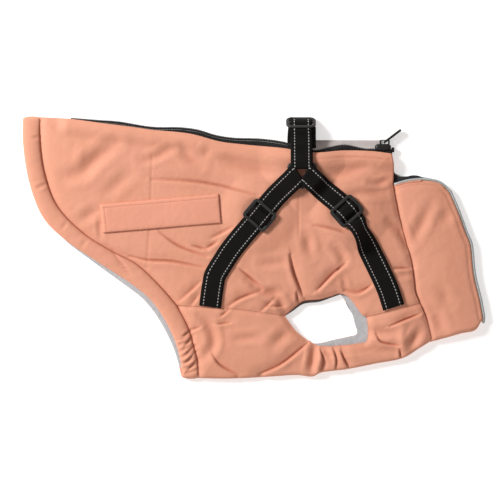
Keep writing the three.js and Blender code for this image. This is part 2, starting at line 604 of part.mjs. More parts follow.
const liningOuter = folded(
  raised(collarNear, () => COLLAR.nearLiningTop), raised(collarFar, () => COLLAR.farShell + 0.3), 4, 1.4,
);
const liningInner = folded(
  raised(collarNear, () => COLLAR.nearLining), raised(collarFar, () => COLLAR.farLining), 4, 0.4,
);
piece("collar_lining", wall(liningOuter, liningInner), palette.fleece);

// Piping round the collar's free edge, near and then far.
function pipingPath() {
  const layer = (top, z) => {
    const run = joined(along(top, 10), along(COLLAR_EDGE, 16));
    return inset(run, PIPING / 2).map((p) => p.setZ(z));
  };
  const turn = [[419.8, 54.6, 4.9], [419.7, 52, 3.5], [419.8, 54.6, 2.1]].map((p) => new THREE.Vector3(...p));
  const [near, far] = [layer(COLLAR_TOP_NEAR, 5.2), layer(COLLAR_TOP_FAR, 1.8)];
  return new THREE.CatmullRomCurve3([...near, ...turn, ...far.reverse()], false, "centripetal");
}
function roundShape(across, sides) {
  return new THREE.Shape(new THREE.EllipseCurve(0, 0, across / 2, across / 2).getPoints(sides).slice(0, -1));
}
function cord(path, across, sides, steps) {
  return new THREE.ExtrudeGeometry(roundShape(across, sides), { steps, bevelEnabled: false, extrudePath: path });
}
piece("collar_piping", cord(pipingPath(), PIPING, 6, 72), palette.piping);

// Zip

// The height y of the back edge at x.
function backAt(x) {
  const k = backLine.findIndex((p) => p.x >= x);
  const [a, b] = [backLine[Math.max(k - 1, 0)], backLine[Math.max(k, 1)]];
  return THREE.MathUtils.lerp(a.y, b.y, (x - a.x) / (b.x - a.x));
}

// The zip rises with the far layer just inside the back edge.
const zipLift = (x) => lift(x, backAt(x) - 3);

function tapeGeometry(low) {
  const zipLine = along([...ZIP_EDGE, [TAPE.end, ZIP_END_HEIGHT]], 200);
  const columns = Array.from({ length: TAPE.steps + 1 }, (_, k) => {
    const x = THREE.MathUtils.lerp(TAPE.start, TAPE.end, k / TAPE.steps);
    const edge = zipLine.find((p) => p.x >= x) ?? zipLine.at(-1);
    const inner = backAt(x) - TAPE.under;
    const outer = Math.max(edge.y - COIL.across - 0.3, inner + 1);
    return [new THREE.Vector3(x, inner, 0), new THREE.Vector3(x, outer, 0)];
  });
  const height = (add) => raised(columns, (x) => low + add + zipLift(x));
  return wall(height(TAPE.thick), height(0));
}
piece("zip_tape_near", tapeGeometry(TAPE.nearLow), palette.fleece);
piece("zip_tape_far", tapeGeometry(TAPE.farLow), palette.fleece);

const coilLine = along(ZIP_EDGE, 60).map((p) => new THREE.Vector3(p.x, p.y - COIL.across / 2, COIL.z + zipLift(p.x)));
piece("zip_coil", cord(new THREE.CatmullRomCurve3(coilLine, false, "centripetal"), COIL.across, 6, 64), palette.metal);

// The slider's section across the zip, a channel over the tapes, as long as the slider.
function zipSliderGeometry() {
  const { x0, x1, lip, plateLow, plateHigh, z0, z1, flange } = ZIP_SLIDER;
  const shape = new THREE.Shape([
    new THREE.Vector2(z0, lip), new THREE.Vector2(z0 + flange, lip), new THREE.Vector2(z0 + flange, plateLow),
    new THREE.Vector2(z1 - flange, plateLow), new THREE.Vector2(z1 - flange, lip), new THREE.Vector2(z1, lip),
    new THREE.Vector2(z1, plateHigh - SLIDER_ROUND), new THREE.Vector2(z1 - SLIDER_ROUND, plateHigh),
    new THREE.Vector2(z0 + SLIDER_ROUND, plateHigh), new THREE.Vector2(z0, plateHigh - SLIDER_ROUND),
  ]);
  const geometry = new THREE.ExtrudeGeometry(shape, { depth: x1 - x0, bevelEnabled: false });
  geometry.rotateY(-Math.PI / 2);
  geometry.translate(x1, 0, 0);
  return geometry;
}
piece("zip_slider", zipSliderGeometry(), palette.metal);

// The slider's bridge, an arch that the pull tab's bar passes under.
function bridgeGeometry() {
  const { x, reach, foot, high, beam, width } = BRIDGE;
  const base = ZIP_SLIDER.plateHigh + 0.05;
  const shape = new THREE.Shape([
    new THREE.Vector2(x - reach, base), new THREE.Vector2(x - reach + foot, base),
    new THREE.Vector2(x - reach + foot, high - beam), new THREE.Vector2(x + reach - foot, high - beam),
    new THREE.Vector2(x + reach - foot, base), new THREE.Vector2(x + reach, base),
    new THREE.Vector2(x + reach, high - beam), new THREE.Vector2(x + reach - beam, high),
    new THREE.Vector2(x - reach + beam, high), new THREE.Vector2(x - reach, high - beam),
  ]);
  const geometry = new THREE.ExtrudeGeometry(shape, { depth: width, bevelEnabled: false });
  geometry.translate(0, 0, ZIP_MIDDLE - width / 2);
  return geometry;
}
piece("zip_bridge", bridgeGeometry(), palette.metal);

// The pull tab: a flat plate with a square eye, turned about its bar under the bridge.
function pullGeometry() {
  const { length, width, thick, arm, eye, bar, corner } = PULL;
  const half = width / 2;
  const shape = new THREE.Shape([
    new THREE.Vector2(-bar, -half), new THREE.Vector2(length - corner, -half),
    new THREE.Vector2(length, -half + corner), new THREE.Vector2(length, half - corner),
    new THREE.Vector2(length - corner, half), new THREE.Vector2(-bar, half),
  ]);
  shape.holes.push(new THREE.Path([
    new THREE.Vector2(bar, -half + arm), new THREE.Vector2(bar, half - arm),
    new THREE.Vector2(eye, half - arm), new THREE.Vector2(eye, -half + arm),
  ]));
  const geometry = new THREE.ExtrudeGeometry(shape, { depth: thick, bevelEnabled: false });
  geometry.translate(0, 0, -thick / 2);
  geometry.rotateX(Math.PI / 2);
  geometry.rotateZ(PULL.angle);
  geometry.translate(BRIDGE.x, PULL.y, ZIP_MIDDLE);
  return geometry;
}
piece("zip_pull", pullGeometry(), palette.metal);

function stopGeometry() {
  const [[x0, x1], [y0, y1], [z0, z1]] = [STOP.x, STOP.y, STOP.z];
  const geometry = new THREE.BoxGeometry(x1 - x0, y1 - y0, z1 - z0);
  geometry.translate((x0 + x1) / 2, (y0 + y1) / 2, (z0 + z1) / 2);
  return geometry;
}
piece("zip_stop", stopGeometry(), palette.metal);

// Pale guard behind the zip, sewn under the far tape and drooping to the surface.
function guardGeometry() {
  const columns = Array.from({ length: GUARD.steps + 1 }, (_, k) => {
    const x = THREE.MathUtils.lerp(GUARD.x0, GUARD.x1, k / GUARD.steps);
    const root = backAt(x) + GUARD.root;
    return [0, 0.35, 1].map((t) => new THREE.Vector3(x, THREE.MathUtils.lerp(root, GUARD.top, t), 0));
  });
  const low = (x, y) => {
    const past = y - backAt(x);
    const droop = THREE.MathUtils.lerp(GUARD.tipLow, GUARD.rootLow, fade(past, 0.8, 5));
    return droop + zipLift(x) * fade(past, 1, 12);
  };
  return wall(raised(columns, (x, y) => low(x, y) + GUARD.thick), raised(columns, low));
}
piece("zip_guard", guardGeometry(), palette.guard);

// Harness

// The height of the cloth that a strap lies on, taken over the strap's whole width.
function bedHeight(far, p, side) {
  const spots = [-10, -5, 0, 5, 10].map((o) => [p.x + side.x * o, p.y + side.y * o]);
  if (far) return Math.max(STRAP_LIFT, Math.min(...spots.map(([x, y]) => lift(x, y))) - 0.4);
  return Math.max(...spots.map(([x, y]) => nearOuter(x, y)));
}

// The direction in which a run of stations passes station k.
function heading(stations, k) {
  const last = stations[Math.max(k - 1, 0)].place;
  const next = stations[Math.min(k + 1, stations.length - 1)].place;
  return next.clone().sub(last);
}

// A flat band of webbing through its stations. At each the side runs across it and the normal through it.
function band(stations, sides, normals) {
  const triangles = [];
  const positions = stations.flatMap(({ place, width }, k) => (
    [[-1, -1], [1, -1], [1, 1], [-1, 1]].map(([s, n]) => place.clone()
      .addScaledVector(sides[k], (s * width) / 2).addScaledVector(normals[k], (n * WEBBING) / 2))));
  for (let k = 0; k + 1 < stations.length; k += 1) {
    for (let c = 0; c < 4; c += 1) {
      const [a, b] = [4 * k + c, 4 * k + ((c + 1) % 4)];
      triangles.push([a, b, b + 4], [a, b + 4, a + 4]);
    }
  }
  const end = 4 * (stations.length - 1);
  triangles.push([0, 2, 1], [0, 3, 2], [end, end + 1, end + 2], [end, end + 2, end + 3]);
  return closed(positions, triangles);
}

// A ribbon that lies flat and keeps its side level, also where it is hooked round a bar.
function ribbon(stations) {
  const sides = [];
  const normals = stations.map((_, k) => {
    const tangent = heading(stations, k).normalize();
    const side = new THREE.Vector3(-tangent.y, tangent.x, 0);
    if (k > 0 && side.length() < 0.3) side.copy(sides[k - 1]);
    if (k > 0 && side.dot(sides[k - 1]) < 0) side.negate();
    side.addScaledVector(tangent, -side.dot(tangent)).normalize();
    sides.push(side);
    return side.clone().cross(tangent);
  });
  return band(stations, sides, normals);
}

// A ribbon in an upright plane across x, which keeps its width along x all the way.
function uprightRibbon(stations) {
  const normals = stations.map((_, k) => {
    const tangent = heading(stations, k).setX(0).normalize();
    return new THREE.Vector3(0, -tangent.z, tangent.y);
  });
  return band(stations, stations.map(() => new THREE.Vector3(1, 0, 0)), normals);
}

// How high a strap's middle runs over its bed near a tri-glide: under both end bars, over the middle bar.
function glideProfile(distance, length) {
  const bar = length / 2 - GLIDE.bar;
  const rise = THREE.MathUtils.smoothstep(Math.abs(distance), GLIDE.bar / 2 + 0.6, bar - 0.6);
  return THREE.MathUtils.lerp(OVER_GLIDE, STRAP_OVER, rise);
}

function glideGeometry({ width, length, round: r }) {
  const [w, h] = [width / 2, length / 2];
  const shape = new THREE.Shape();
  shape.moveTo(-w + r, -h).lineTo(w - r, -h).quadraticCurveTo(w, -h, w, -h + r).lineTo(w, h - r);
  shape.quadraticCurveTo(w, h, w - r, h).lineTo(-w + r, h).quadraticCurveTo(-w, h, -w, h - r);
  shape.lineTo(-w, -h + r).quadraticCurveTo(-w, -h, -w + r, -h);
  for (const sign of [-1, 1]) {
    const [near, far] = [sign * (GLIDE.bar / 2), sign * (h - GLIDE.bar)];
    shape.holes.push(new THREE.Path([
      new THREE.Vector2(-w + GLIDE.rail, near), new THREE.Vector2(w - GLIDE.rail, near),
      new THREE.Vector2(w - GLIDE.rail, far), new THREE.Vector2(-w + GLIDE.rail, far),
    ]));
  }
  return new THREE.ExtrudeGeometry(shape, { depth: GLIDE_THICK, bevelEnabled: false, curveSegments: 3 });
}

// Stations of a strap below its hook, along its length, with extra ones either side of the tri-glide
const STATIONS = { start: 14, count: 18, glide: [1.6, 2.8, 4.2, 5.6, 7, 9, 12], apart: 0.9 };

function strapStations(strap) {
  const line = smoothLine(strap.route);
  const total = line.getLength();
  const centre = strap.glide * total;
  const sign = strap.far ? -1 : 1;
  const { start: free, count, glide, apart } = STATIONS;
  const stops = new Set([centre]);
  for (let k = 0; k <= count; k += 1) stops.add(THREE.MathUtils.lerp(free, total, k / count));
  for (const offset of glide) stops.add(centre + offset).add(centre - offset);
  const lengths = [...stops].sort((a, b) => a - b).filter((s, k, all) => k === 0 || s - all[k - 1] > apart);
  const at = (s) => {
    const t = Math.min(s / total, 1);
    const p = line.getPointAt(t);
    const tangent = line.getTangentAt(t);
    return { p, side: new THREE.Vector3(-tangent.y, tangent.x, 0) };
  };
  const ring = ringBed(strap.far);
  const start = at(0).p;
  const hooked = (inward, h, width) => {
    const [x, y] = [0, 1].map((axis) => strap.hook.edge[axis] + inward * strap.hook.inward[axis]);
    return { place: new THREE.Vector3(x, y, ring + sign * h), width };
  };
  const level = (p, h) => new THREE.Vector3(p.x, p.y, ring + sign * h);
  const stations = [
    hooked(-7.5, STRAP_OVER, 6), hooked(0.2, STRAP_OVER, 5), hooked(0.9, 1.9, 5), hooked(0.9, 3.8, 5),
    hooked(0.2, OVER_RING, 6), hooked(-3, OVER_RING, 11),
    { place: level(start, OVER_RING), width: WEBBING_WIDTH },
    { place: level(at(4).p, OVER_RING), width: WEBBING_WIDTH },
  ];
  const bed = ({ p, side }) => bedHeight(strap.far, p, side);
  const settle = at(9);
  stations.push({ place: new THREE.Vector3(settle.p.x, settle.p.y, bed(settle) + sign * 3), width: WEBBING_WIDTH });
  for (const s of lengths) {
    const spot = at(s);
    const height = Math.abs(s - centre) < 10 ? glideProfile(s - centre, GLIDE.length) : STRAP_OVER;
    const base = Math.abs(s - centre) < 14 ? glideBed(strap) : bed(spot);
    stations.push({ place: new THREE.Vector3(spot.p.x, spot.p.y, base + sign * height), width: WEBBING_WIDTH });
  }
  return stations;
}

// The level that a ring or a tri-glide is measured from: the highest cloth under it, or the lowest over it.
function plateBed(far, x, y, reach) {
  const spots = [[0, 0], [reach, 0], [-reach, 0], [0, reach], [0, -reach], [reach, reach], [-reach, -reach],
    [reach, -reach], [-reach, reach]].map(([dx, dy]) => [x + 0.7 * dx, y + 0.7 * dy]);
  return far ? HARDWARE_LIFT : Math.max(...spots.map(([sx, sy]) => nearOuter(sx, sy)));
}
const ringBed = (far) => plateBed(far, RING.middle[0], RING.middle[1], PLATE_REACH);
function glideBed(strap) {
  const p = smoothLine(strap.route).getPointAt(strap.glide);
  return plateBed(strap.far, p.x, p.y, PLATE_REACH);
}

function plateLow(far, bed, thick) {
  return far ? bed - PLATE_LOW - thick : bed + PLATE_LOW;
}

function ringGeometry(far) {
  const corners = RING.outer.map(([x, y]) => new THREE.Vector2(x, y));
  const centre = corners.reduce((sum, p) => sum.add(p), new THREE.Vector2()).divideScalar(3);
  const inradius = RING.outer[0][1] - centre.y;
  const scaled = (factor) => corners.map((p) => p.clone().sub(centre).multiplyScalar(factor).add(centre));
  const rounded = (points, cut) => points.flatMap((p, k) => {
    const [last, next] = [points[(k + 2) % 3], points[(k + 1) % 3]];
    const [a, b] = [last, next].map((q) => p.clone().add(q.clone().sub(p).setLength(cut)));
    return [a, p.clone().lerp(a.clone().add(b).multiplyScalar(0.5), 0.4), b];
  });
  const shape = new THREE.Shape(rounded(scaled(1), RING.round));
  shape.holes.push(new THREE.Path(rounded(scaled(1 - RING.bar / inradius), 1)));
  const geometry = new THREE.ExtrudeGeometry(shape, { depth: RING_THICK, bevelEnabled: false });
  geometry.translate(0, 0, plateLow(far, ringBed(far), RING_THICK));
  return geometry;
}

for (const far of [false, true]) piece(far ? "ring_far" : "ring_near", ringGeometry(far), palette.plastic);
for (const strap of STRAPS) {
  piece(strap.name, ribbon(strapStations(strap)), palette.webbing);
  const line = smoothLine(strap.route);
  const [p, tangent] = [line.getPointAt(strap.glide), line.getTangentAt(strap.glide)];
  const geometry = glideGeometry(GLIDE);
  geometry.rotateZ(Math.atan2(tangent.y, tangent.x) - Math.PI / 2);
  geometry.translate(p.x, p.y, plateLow(strap.far, glideBed(strap), GLIDE_THICK));
  piece(strap.name.replace("strap", "glide"), geometry, palette.plastic);
}

// Back strap: hooked on the near ring, over the back, through the top slider, and back to the far ring.
function backStrapStations() {
  const { windowTop } = RING;
  const [near, far] = [ringBed(false), ringBed(true)];
  const slider = (s, h) => {
    const { y, z, tilt } = TOP_SLIDER;
    return [y + s * Math.cos(tilt) + h * Math.sin(tilt), z - s * Math.sin(tilt) + h * Math.cos(tilt)];
  };
  const edge = Math.max(nearOuter(253.6, 205), nearOuter(245, 205), nearOuter(262, 205));
  const rows = [
    { x: 253.8, y: windowTop + 5, z: near + STRAP_OVER, width: 8 },
    { x: 253.8, y: windowTop - 0.3, z: near + STRAP_OVER, width: 8 },
    { x: 253.8, y: windowTop - 0.9, z: near + 2, width: 8 },
    { x: 253.8, y: windowTop - 0.9, z: near + 3.8, width: 8 },
    { x: 253.8, y: windowTop - 0.2, z: near + OVER_RING, width: 11 },
    { x: 253.6, y: windowTop + 5.2, z: near + OVER_RING, width: 20 },
    { x: 253.6, y: 200, z: Math.max(near + 3.4, edge + 1.6), width: 20 },
    { x: 253.6, y: 206, z: edge + 1.3, width: 20 },
    { x: 253.6, y: 214, z: edge + 1.2, width: 20 },
    { x: 253.6, y: 221, z: 13.4, width: 20 },
  ];
  for (const [s, h] of [[-9.2, -1.9], [-6.6, -1.9], [-4.8, -1.2], [-3.4, 0.9], [-1.7, 1.9], [0, 2], [1.7, 1.9],
    [3.4, 0.9], [4.8, -1.2], [6.4, -1.9]]) {
    const [y, z] = slider(s, h);
    rows.push({ x: 253.4, y, z, width: 20 });
  }
  rows.push(
    { x: 252.4, y: 233, z: 0.9, width: 20 },
    { x: 251.4, y: 226, z: 0.6, width: 20 },
    { x: 251, y: 216, z: 0.6, width: 20 },
    { x: 252, y: 208, z: Math.max(0.6, lift(253, 207) - 1.3), width: 20 },
    { x: 253.2, y: 203, z: Math.max(0.6, lift(253, 203) - 1.3), width: 20 },
    { x: 253.6, y: windowTop + 5.2, z: far - OVER_RING, width: 20 },
    { x: 253.8, y: windowTop - 0.2, z: far - OVER_RING, width: 11 },
    { x: 253.8, y: windowTop - 0.9, z: far - 3.8, width: 8 },
    { x: 253.8, y: windowTop - 0.9, z: far - 2, width: 8 },
    { x: 253.8, y: windowTop - 0.3, z: far - STRAP_OVER, width: 8 },
    { x: 253.8, y: windowTop + 5, z: far - STRAP_OVER, width: 8 },
  );
  return rows.map(({ x, y, z, width }) => ({ place: new THREE.Vector3(x, y, z), width }));
}

const backStations = backStrapStations();
piece("back_strap", uprightRibbon(backStations), palette.webbing);

// The strap's spare end, doubled behind its near run above the back: the run's stations from and to, moved back.
const SPARE = { from: 8, to: 12, x: 256.6, behind: WEBBING + 0.3 };
const spareEnd = backStations.slice(SPARE.from, SPARE.to).map(({ place }, k) => {
  const { y, z } = heading(backStations, SPARE.from + k).setX(0).normalize();
  const moved = place.clone().setX(SPARE.x).addScaledVector(new THREE.Vector3(0, z, -y), SPARE.behind);
  return { place: moved, width: WEBBING_WIDTH };
});
piece("back_strap_end", uprightRibbon(spareEnd), palette.webbing);

function topSliderGeometry() {
  const { x, y, z, tilt } = TOP_SLIDER;
  const geometry = glideGeometry(TOP_SLIDER);
  geometry.translate(0, 0, -GLIDE_THICK / 2);
  geometry.rotateX(-tilt);
  geometry.translate(x, y, z);
  return geometry;
}
piece("top_slider", topSliderGeometry(), palette.plastic);

// Every extruded piece is welded, so that its faces share their corners.
coat.traverse((mesh) => {
  if (!mesh.isMesh || mesh.geometry.index) return;
  mesh.geometry.deleteAttribute("normal");
  mesh.geometry.deleteAttribute("uv");
  mesh.geometry = mergeVertices(mesh.geometry, 1e-4);
  mesh.geometry.computeVertexNormals();
});

export default coat;
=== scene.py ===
"""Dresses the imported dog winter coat, which lies flat on its side.

Lengths of the pattern are millimetres, as a cutter notes them: x from the tail edge to the collar, y from the
belly fold to the back and z up from the surface. to_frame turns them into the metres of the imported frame.
"""

import logging
import math
from dataclasses import dataclass
from enum import Enum
from typing import Callable, Sequence

import bmesh
import bpy
import numpy as np
from mathutils import Matrix, Vector, noise


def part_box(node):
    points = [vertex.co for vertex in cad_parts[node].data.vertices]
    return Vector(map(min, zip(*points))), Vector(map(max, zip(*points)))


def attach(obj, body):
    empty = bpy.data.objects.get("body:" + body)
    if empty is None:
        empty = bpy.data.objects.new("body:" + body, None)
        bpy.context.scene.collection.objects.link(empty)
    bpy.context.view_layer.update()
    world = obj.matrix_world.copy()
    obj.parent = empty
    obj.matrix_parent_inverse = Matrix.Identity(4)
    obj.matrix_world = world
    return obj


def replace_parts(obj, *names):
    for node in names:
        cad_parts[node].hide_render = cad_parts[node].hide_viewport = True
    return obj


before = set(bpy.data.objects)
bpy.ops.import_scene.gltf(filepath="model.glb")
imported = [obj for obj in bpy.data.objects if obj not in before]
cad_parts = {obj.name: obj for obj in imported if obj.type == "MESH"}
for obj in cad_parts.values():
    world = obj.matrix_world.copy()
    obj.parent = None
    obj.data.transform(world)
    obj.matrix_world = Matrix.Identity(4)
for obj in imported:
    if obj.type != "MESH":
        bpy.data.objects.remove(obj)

log = logging.getLogger("coat")

Table = Sequence[Sequence[float]]
Height = Callable[[np.ndarray, np.ndarray], np.ndarray]
Colour = Sequence[float] | bpy.types.NodeSocket

# Driving sizes
LENGTH = 421.3
HEIGHT = 239.5
WEBBING_WIDTH = 20.0
WEBBING = 1.0
MILLIMETRE = 0.001

# Levels of the layers, from the surface up
FAR_WALL = 2.2
FLEECE_TOP = 3.5
NEAR_LOW = 3.8
NEAR_WALL = 3.2
PUFF = 4.2
PUFF_REACH = 20.0
PUFF_UNDER = 0.55
FOLD_REACH = 3.5
THINNEST = 1.1
FOLD_DEPTH = 1.3
RING_SIDES = 40
STRAP_LIFT = 1.7
STRAP_FADE = (15.0, 30.0)
HARDWARE_LIFT = 5.3
HARDWARE_FADE = (18.0, 50.0)
ZIP_ROOM = 3.0

# Heights of the harness over the cloth
STRAP_OVER = 1.25
PLATE_LOW = 1.9
RING_THICK = 2.0
GLIDE_THICK = 1.8
GLIDE_LENGTH = 21.0
GLIDE_BAR = 2.8
GLIDE_HOLE = 19.4
GLIDE_SQUEEZE = 0.7
GLIDE_DENT = 0.9
RING_CORNERS = ((241.2, 194.3), (266.6, 194.3), (254, 173))
RING_HALF_BAR = 2.2
LOOP_ROUND = 4.5
TOP_GLIDE = (253.2, 233.4, 7.9)
TOP_TILT = math.radians(54)
RING_WINDOW_TOP = 192.2
OVER_RING = 4.7
OVER_GLIDE = 4.5

# How far neighbouring panels reach under their shared seam, so that no light shows through it
SEAM_OVERLAP = 0.25

# Outlines of the pattern, each row a point x, y
BACK_EDGE = (
    (15.6, 238.6), (44.4, 236.7), (70.5, 233.2), (101.8, 229.2), (117.5, 226.9), (151.9, 223.4), (180.1, 216.1),
    (201, 213.5), (234.2, 210.3), (264.6, 205.9), (291.7, 208), (317.8, 207.4), (335.5, 205.3),
)
NECK_EDGE = ((335.5, 205.3), (337.4, 194), (337, 177.9))
COLLAR_SEAM_SIDE = (
    (337, 177.9), (341.9, 151.8), (347.1, 130.9), (353.5, 108.4), (355.8, 91.1), (357.2, 79), (361.4, 68.9),
)
COLLAR_SEAM_BELLY = ((361.4, 68.9), (368, 53.4), (371.6, 37.8))
CASING_SEAM_SIDE = (
    (15.6, 238.6), (15.6, 219.2), (19.3, 189.9), (30.8, 158.6), (55.8, 132.5), (81.7, 116.2), (103.7, 104.6),
    (125.8, 83.7), (140.5, 66.6),
)
CASING_SEAM_BELLY = ((140.5, 66.6), (150.2, 47.8), (155.9, 28.1), (158.8, 16.5), (159.7, 4.2))
HEM_NEAR = (
    (0.2, 235), (0.5, 212.9), (6.7, 176.3), (19.3, 146.1), (38.1, 127.3), (63.1, 110.1), (99.1, 86.6),
    (115.4, 73.3), (126.9, 58.2), (136.2, 40.8), (142, 24.6), (145.8, 4.6),
)
HEM_FAR = (
    (0.2, 235), (0.5, 212.9), (6.7, 176.3), (19.3, 146.1), (38, 126.8), (61.8, 108.6), (96.3, 83.6),
    (108.6, 74), (120, 60.6), (131.6, 41), (139.6, 22), (143.8, 4.6),
)
SEAM_REAR_NEAR = ((140.5, 66.6), (181.4, 64.8), (206.9, 62.1), (238.4, 57.7))
SEAM_FRONT_NEAR = ((313.2, 56.6), (328.1, 60.2), (346.9, 65.1), (361.4, 68.9))
SEAM_REAR_FAR = ((140.5, 66.6), (181.4, 64.8), (206.9, 62.1), (230, 59.8))
SEAM_FRONT_FAR = ((301, 57.5), (328.1, 60.2), (346.9, 65.1), (361.4, 68.9))
LEG_TOP_NEAR = (
    (238.4, 57.7), (246.5, 64.6), (255.2, 71), (270, 72.6), (279.8, 75.2), (288.7, 77.8), (294.5, 76), (301.5, 69),
    (309.3, 58.2), (313.2, 56.6),
)
LEG_TURNED_EDGE = ((238.6, 57.2), (246.3, 62.2), (255.2, 68.2), (270, 70.3), (279.8, 73.7), (289.2, 77))
LEG_LOW_NEAR = (
    (238.4, 57.7), (249.2, 43.4), (256.2, 37.5), (262.1, 33.5), (270, 30.1), (285.7, 30.1), (306, 32.2),
    (312.3, 33.6), (314.3, 41.5), (313.2, 56.6),
)
LEG_TOP_FAR = (
    (230, 59.8), (240, 66.5), (256, 72), (272, 75), (287, 78.6), (293.6, 72), (299.5, 61.2), (301, 57.5),
)
LEG_LOW_FAR = (
    (230, 59.8), (236, 50), (246, 39), (257, 33.4), (268, 32.1), (283.8, 35.5), (295.6, 38), (304.6, 41),
    (302.5, 51.3), (301, 57.5),
)
BELLY_EDGE = (
    (159.7, 0.7), (184.9, 0.3), (206.9, 1), (226.6, 2.2), (250.3, 3.5), (264, 2.2), (271, 5.5), (295.6, 8.9),
    (320.2, 13.8), (346.9, 19.3), (361.4, 28.1), (371.6, 34.3),
)
COLLAR_TOP_NEAR = ((337.8, 178.6), (352.9, 182.5), (368.5, 183.1), (380.7, 180.3), (390.6, 171.5))
COLLAR_TOP_FAR = ((338.2, 188), (347, 185), (358.2, 185.2), (380.7, 180.3), (390.6, 171.5))
COLLAR_FLEECE_TOP = (
    (337.2, 194.5), (338.9, 187.4), (342, 184.9), (349.4, 184.6), (354.1, 185.6), (358.6, 185.6), (364, 184.4),
    (380.7, 180.3), (390.6, 171.5),
)
COLLAR_EDGE = (
    (390.6, 171.5), (398.1, 154.2), (405.6, 133.8), (409.7, 124), (413, 95.4), (418.5, 72.4), (421.3, 57),
)
THROAT_EDGE = ((371.6, 38.3), (384.4, 41.6), (399.7, 45.8), (412, 48.6), (418, 57))
ZIP_EDGE = (
    (44.2, 238.2), (70.5, 236.2), (86.2, 235.1), (117.5, 230.2), (143.6, 229.7), (159.3, 227.6), (174.9, 222.9),
    (190.5, 220.3), (216.6, 219.3), (239.6, 215.7), (254, 210.5), (266.9, 208.6), (279.6, 211.6), (293, 213.8),
    (312.1, 210.3), (319.6, 210.3),
)
FLAP_CORNERS = ((70.4, 159), (178.5, 168.6), (180.6, 142), (73.3, 132.9))


class FoldKind(Enum):
    """What a fold's section looks like."""

    SOFT = "a wide trough between two low swells"
    CREASE = "a narrow valley, sloping gently on its left and lipped on its right"
    SWELL = "a low ridge"
    SEAM = "a fine sewn line"


@dataclass(frozen=True)
class Fold:
    """One fold of the near layer.

    Args:
        line: its points x, y.
        half: its half width.
        depth: how deep or high it is.
        kind: its section.
    """

    line: Table
    half: float
    depth: float
    kind: FoldKind = FoldKind.SOFT

    def section(self, side: np.ndarray) -> np.ndarray:
        """Height of the fold at a signed distance from its line, positive on the left.

        Args:
            side: signed distances.

        Returns:
            The heights.
        """
        away = np.abs(side)
        if self.kind is FoldKind.SWELL:
            return self.depth * np.exp(-((side / self.half) ** 2))
        if self.kind is FoldKind.SEAM:
            return -self.depth * np.exp(-((side / self.half) ** 2))
        if self.kind is FoldKind.CREASE:
            valley = -self.depth * np.exp(-((side / (0.3 * self.half)) ** 2))
            gentle, steep = 1.5 * self.half, 0.34 * self.half
            slope = -0.75 * self.depth * np.exp(-((side / np.where(side > 0, gentle, steep)) ** 2))
            lip = 0.32 * self.depth * np.exp(-(((side + 0.95 * self.half) / (0.8 * self.half)) ** 2))
            return valley + slope + lip
        trough = -self.depth * np.exp(-((side / self.half) ** 2))
        return trough + 0.3 * self.depth * np.exp(-(((away - 1.9 * self.half) / (0.9 * self.half)) ** 2))

    def shade(self, side: np.ndarray) -> np.ndarray:
        """How much painted shade darkens the cloth at a signed distance from the fold's line.

        Args:
            side: signed distances.

        Returns:
            Shares from 0 to 1.
        """
        if self.kind is FoldKind.SWELL:
            return np.zeros(side.shape)
        strength, reach = {
            FoldKind.CREASE: (min(1.0, self.depth / 1.5), 0.27),
            FoldKind.SOFT: (0.3 * min(1.0, self.depth / 1.4), 0.7),
            FoldKind.SEAM: (0.3, 0.8),
        }[self.kind]
        return strength * np.exp(-((side / (reach * self.half)) ** 2))


